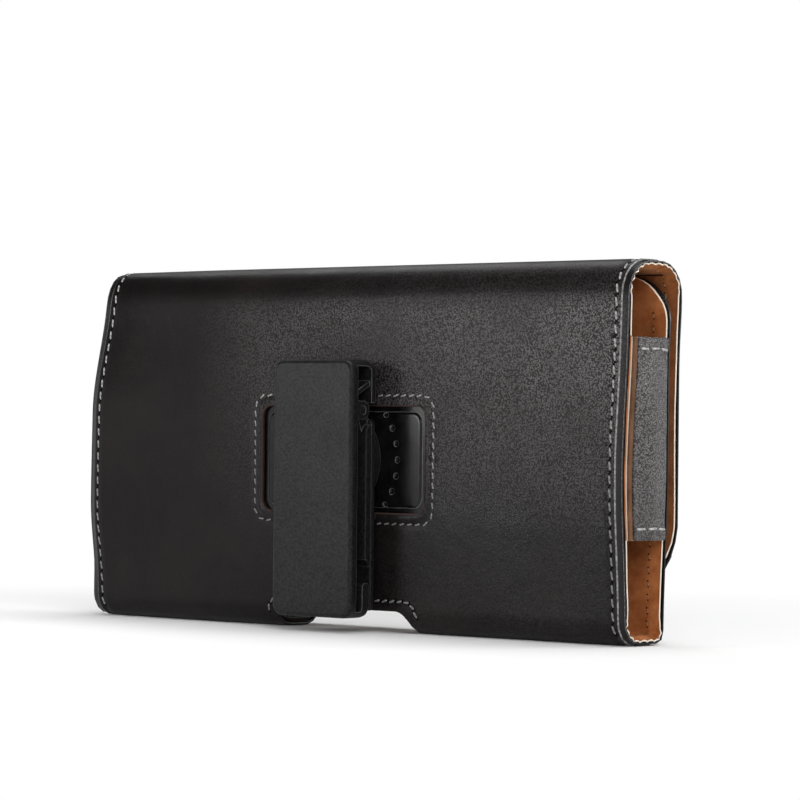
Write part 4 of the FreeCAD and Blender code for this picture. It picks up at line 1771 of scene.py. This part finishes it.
@dataclass(frozen=True)
class Lamp:
    """A soft square lamp: its name, its place and side in metres, and its power in watts."""

    name: str
    at: tuple[float, float, float]
    side: float
    watts: float

    def build(self, aim: Vector) -> None:
        """Hang the lamp.

        Args:
            aim: The place that it is aimed at.
        """
        data = bpy.data.lights.new(self.name, "AREA")
        data.size = self.side
        data.energy = self.watts
        made = bpy.data.objects.new(self.name, data)
        made.location = self.at
        made.rotation_euler = (aim - Vector(self.at)).to_track_quat("-Z", "Y").to_euler()
        made.visible_camera = False
        bpy.context.scene.collection.objects.link(made)


@dataclass
class Studio:
    """The pale floor, the soft light and the camera."""

    camera_at: tuple[float, float, float] = (0.5846, -0.6526, 0.0505)
    yaw: float = 0.71822
    pitch: float = 0.00603
    roll: float = 0.00995
    lens: float = 162.5
    aim: tuple[float, float, float] = (0.0, 0.0, 0.045)
    floor_half: float = 6.0
    floor_white: float = 0.93
    fade: tuple[float, float] = (0.11, 0.24)
    ambient: float = 0.6
    overhead: float = 0.07
    lamps: tuple[Lamp, ...] = (
        Lamp("key", (-0.13, -0.25, 0.09), 0.08, 0.3),
        Lamp("side", (0.34, 0.34, 0.17), 0.1, 0.45),
        Lamp("glint", (0.16, -0.33, 0.13), 0.04, 0.09),
        Lamp("behind", (-0.7, 0.48, 0.8), 0.45, 1.2),
        Lamp("fill", (1.0, -0.75, 0.8), 0.7, 9.0),
        Lamp("top", (0.1, 0.2, 1.3), 0.9, 12.0),
    )

    def build_floor(self) -> None:
        """A plain pale floor that keeps the object's shadow and fades to white far off."""
        bm = bmesh.new()
        bmesh.ops.create_grid(bm, x_segments=1, y_segments=1, size=self.floor_half)
        mesh = bpy.data.meshes.new("floor")
        bm.to_mesh(mesh)
        bm.free()
        floor = bpy.data.objects.new("floor", mesh)
        bpy.context.scene.collection.objects.link(floor)
        made = bpy.data.materials.new("pale_floor")
        made.use_nodes = True
        nodes = made.node_tree.nodes
        sketch = Sketch(made.node_tree)
        draft = Draft(sketch, nodes["Principled BSDF"], sketch.place())
        draft.set(Base_Color=opaque((self.floor_white,) * 3), Roughness=0.9,
                  Specular_IOR_Level=0.1)
        far = sketch.add("VectorMath", "LENGTH", Vector=draft.place).outputs["Value"]
        ray = sketch.add("LightPath").outputs
        seen = sketch.math("MAXIMUM", ray["Is Camera Ray"], ray["Is Glossy Ray"])
        seen = sketch.math("MAXIMUM", seen, ray["Is Transmission Ray"])
        glow = sketch.add("Emission", Color=opaque((1.0,) * 3), Strength=1.0)
        blend = sketch.fed(sketch.add("MixShader"),
                           sketch.math("MULTIPLY", sketch.span(far, *self.fade), seen),
                           draft.shader.outputs[0], glow.outputs[0])
        sketch.feed(nodes["Material Output"].inputs["Surface"], blend.outputs[0])
        dress(floor, made)

    def build_world(self) -> None:
        """White walls all round, dark overhead, and dimmer as a light than as a sight."""
        world = bpy.data.worlds.new("studio")
        bpy.context.scene.world = world
        world.use_nodes = True
        sketch = Sketch(world.node_tree)
        sky = world.node_tree.nodes["Background"]
        sky.inputs["Color"].default_value = opaque((1.0,) * 3)
        height = sketch.along(sketch.add("TexCoord").outputs["Generated"], "Z")
        shown = sketch.span(height, 0.12, 0.3, 1.0, self.overhead)
        ray = sketch.add("LightPath").outputs["Is Diffuse Ray"]
        level = sketch.span(ray, 0.0, 1.0, 1.0, self.ambient)
        sketch.feed(sky.inputs["Strength"], sketch.math("MULTIPLY", shown, level))

    def build_camera(self) -> None:
        """The camera, level with the holster and turned to its back and right end."""
        forward = Vector((-math.sin(self.yaw) * math.cos(self.pitch),
                          math.cos(self.yaw) * math.cos(self.pitch), math.sin(self.pitch)))
        level = Vector((math.cos(self.yaw), math.sin(self.yaw), 0))
        upright = level.cross(forward)
        right = level * math.cos(self.roll) + upright * math.sin(self.roll)
        up = upright * math.cos(self.roll) - level * math.sin(self.roll)
        data = bpy.data.cameras.new("camera")
        data.lens = self.lens
        data.sensor_width = 36.0
        data.clip_start = 0.01
        made = bpy.data.objects.new("camera", data)
        turn = Matrix((right, up, -forward)).transposed().to_4x4()
        made.matrix_world = Matrix.Translation(self.camera_at) @ turn
        bpy.context.scene.collection.objects.link(made)
        bpy.context.scene.camera = made

    def build(self) -> None:
        """Build the whole studio."""
        self.build_floor()
        self.build_world()
        for lamp in self.lamps:
            lamp.build(Vector(self.aim))
        self.build_camera()
        bpy.context.scene.view_settings.view_transform = "Standard"


def main() -> None:
    """Build the holster and its studio."""
    logging.basicConfig(level=logging.INFO, format="%(message)s")
    sizes = Sizes.from_frame()
    settling = Settling()
    finishes = Finishes()
    Pouch(sizes, FoldLine(sizes), settling, finishes).build()
    straps = tuple(EndStrap(sizes, settling, finishes, side) for side in (-1, 1))
    for strap in straps:
        strap.build()
    StrapThread(straps).build()
    Clip(finishes).build()
    Studio().build()


if __name__ == "__main__":
    main()
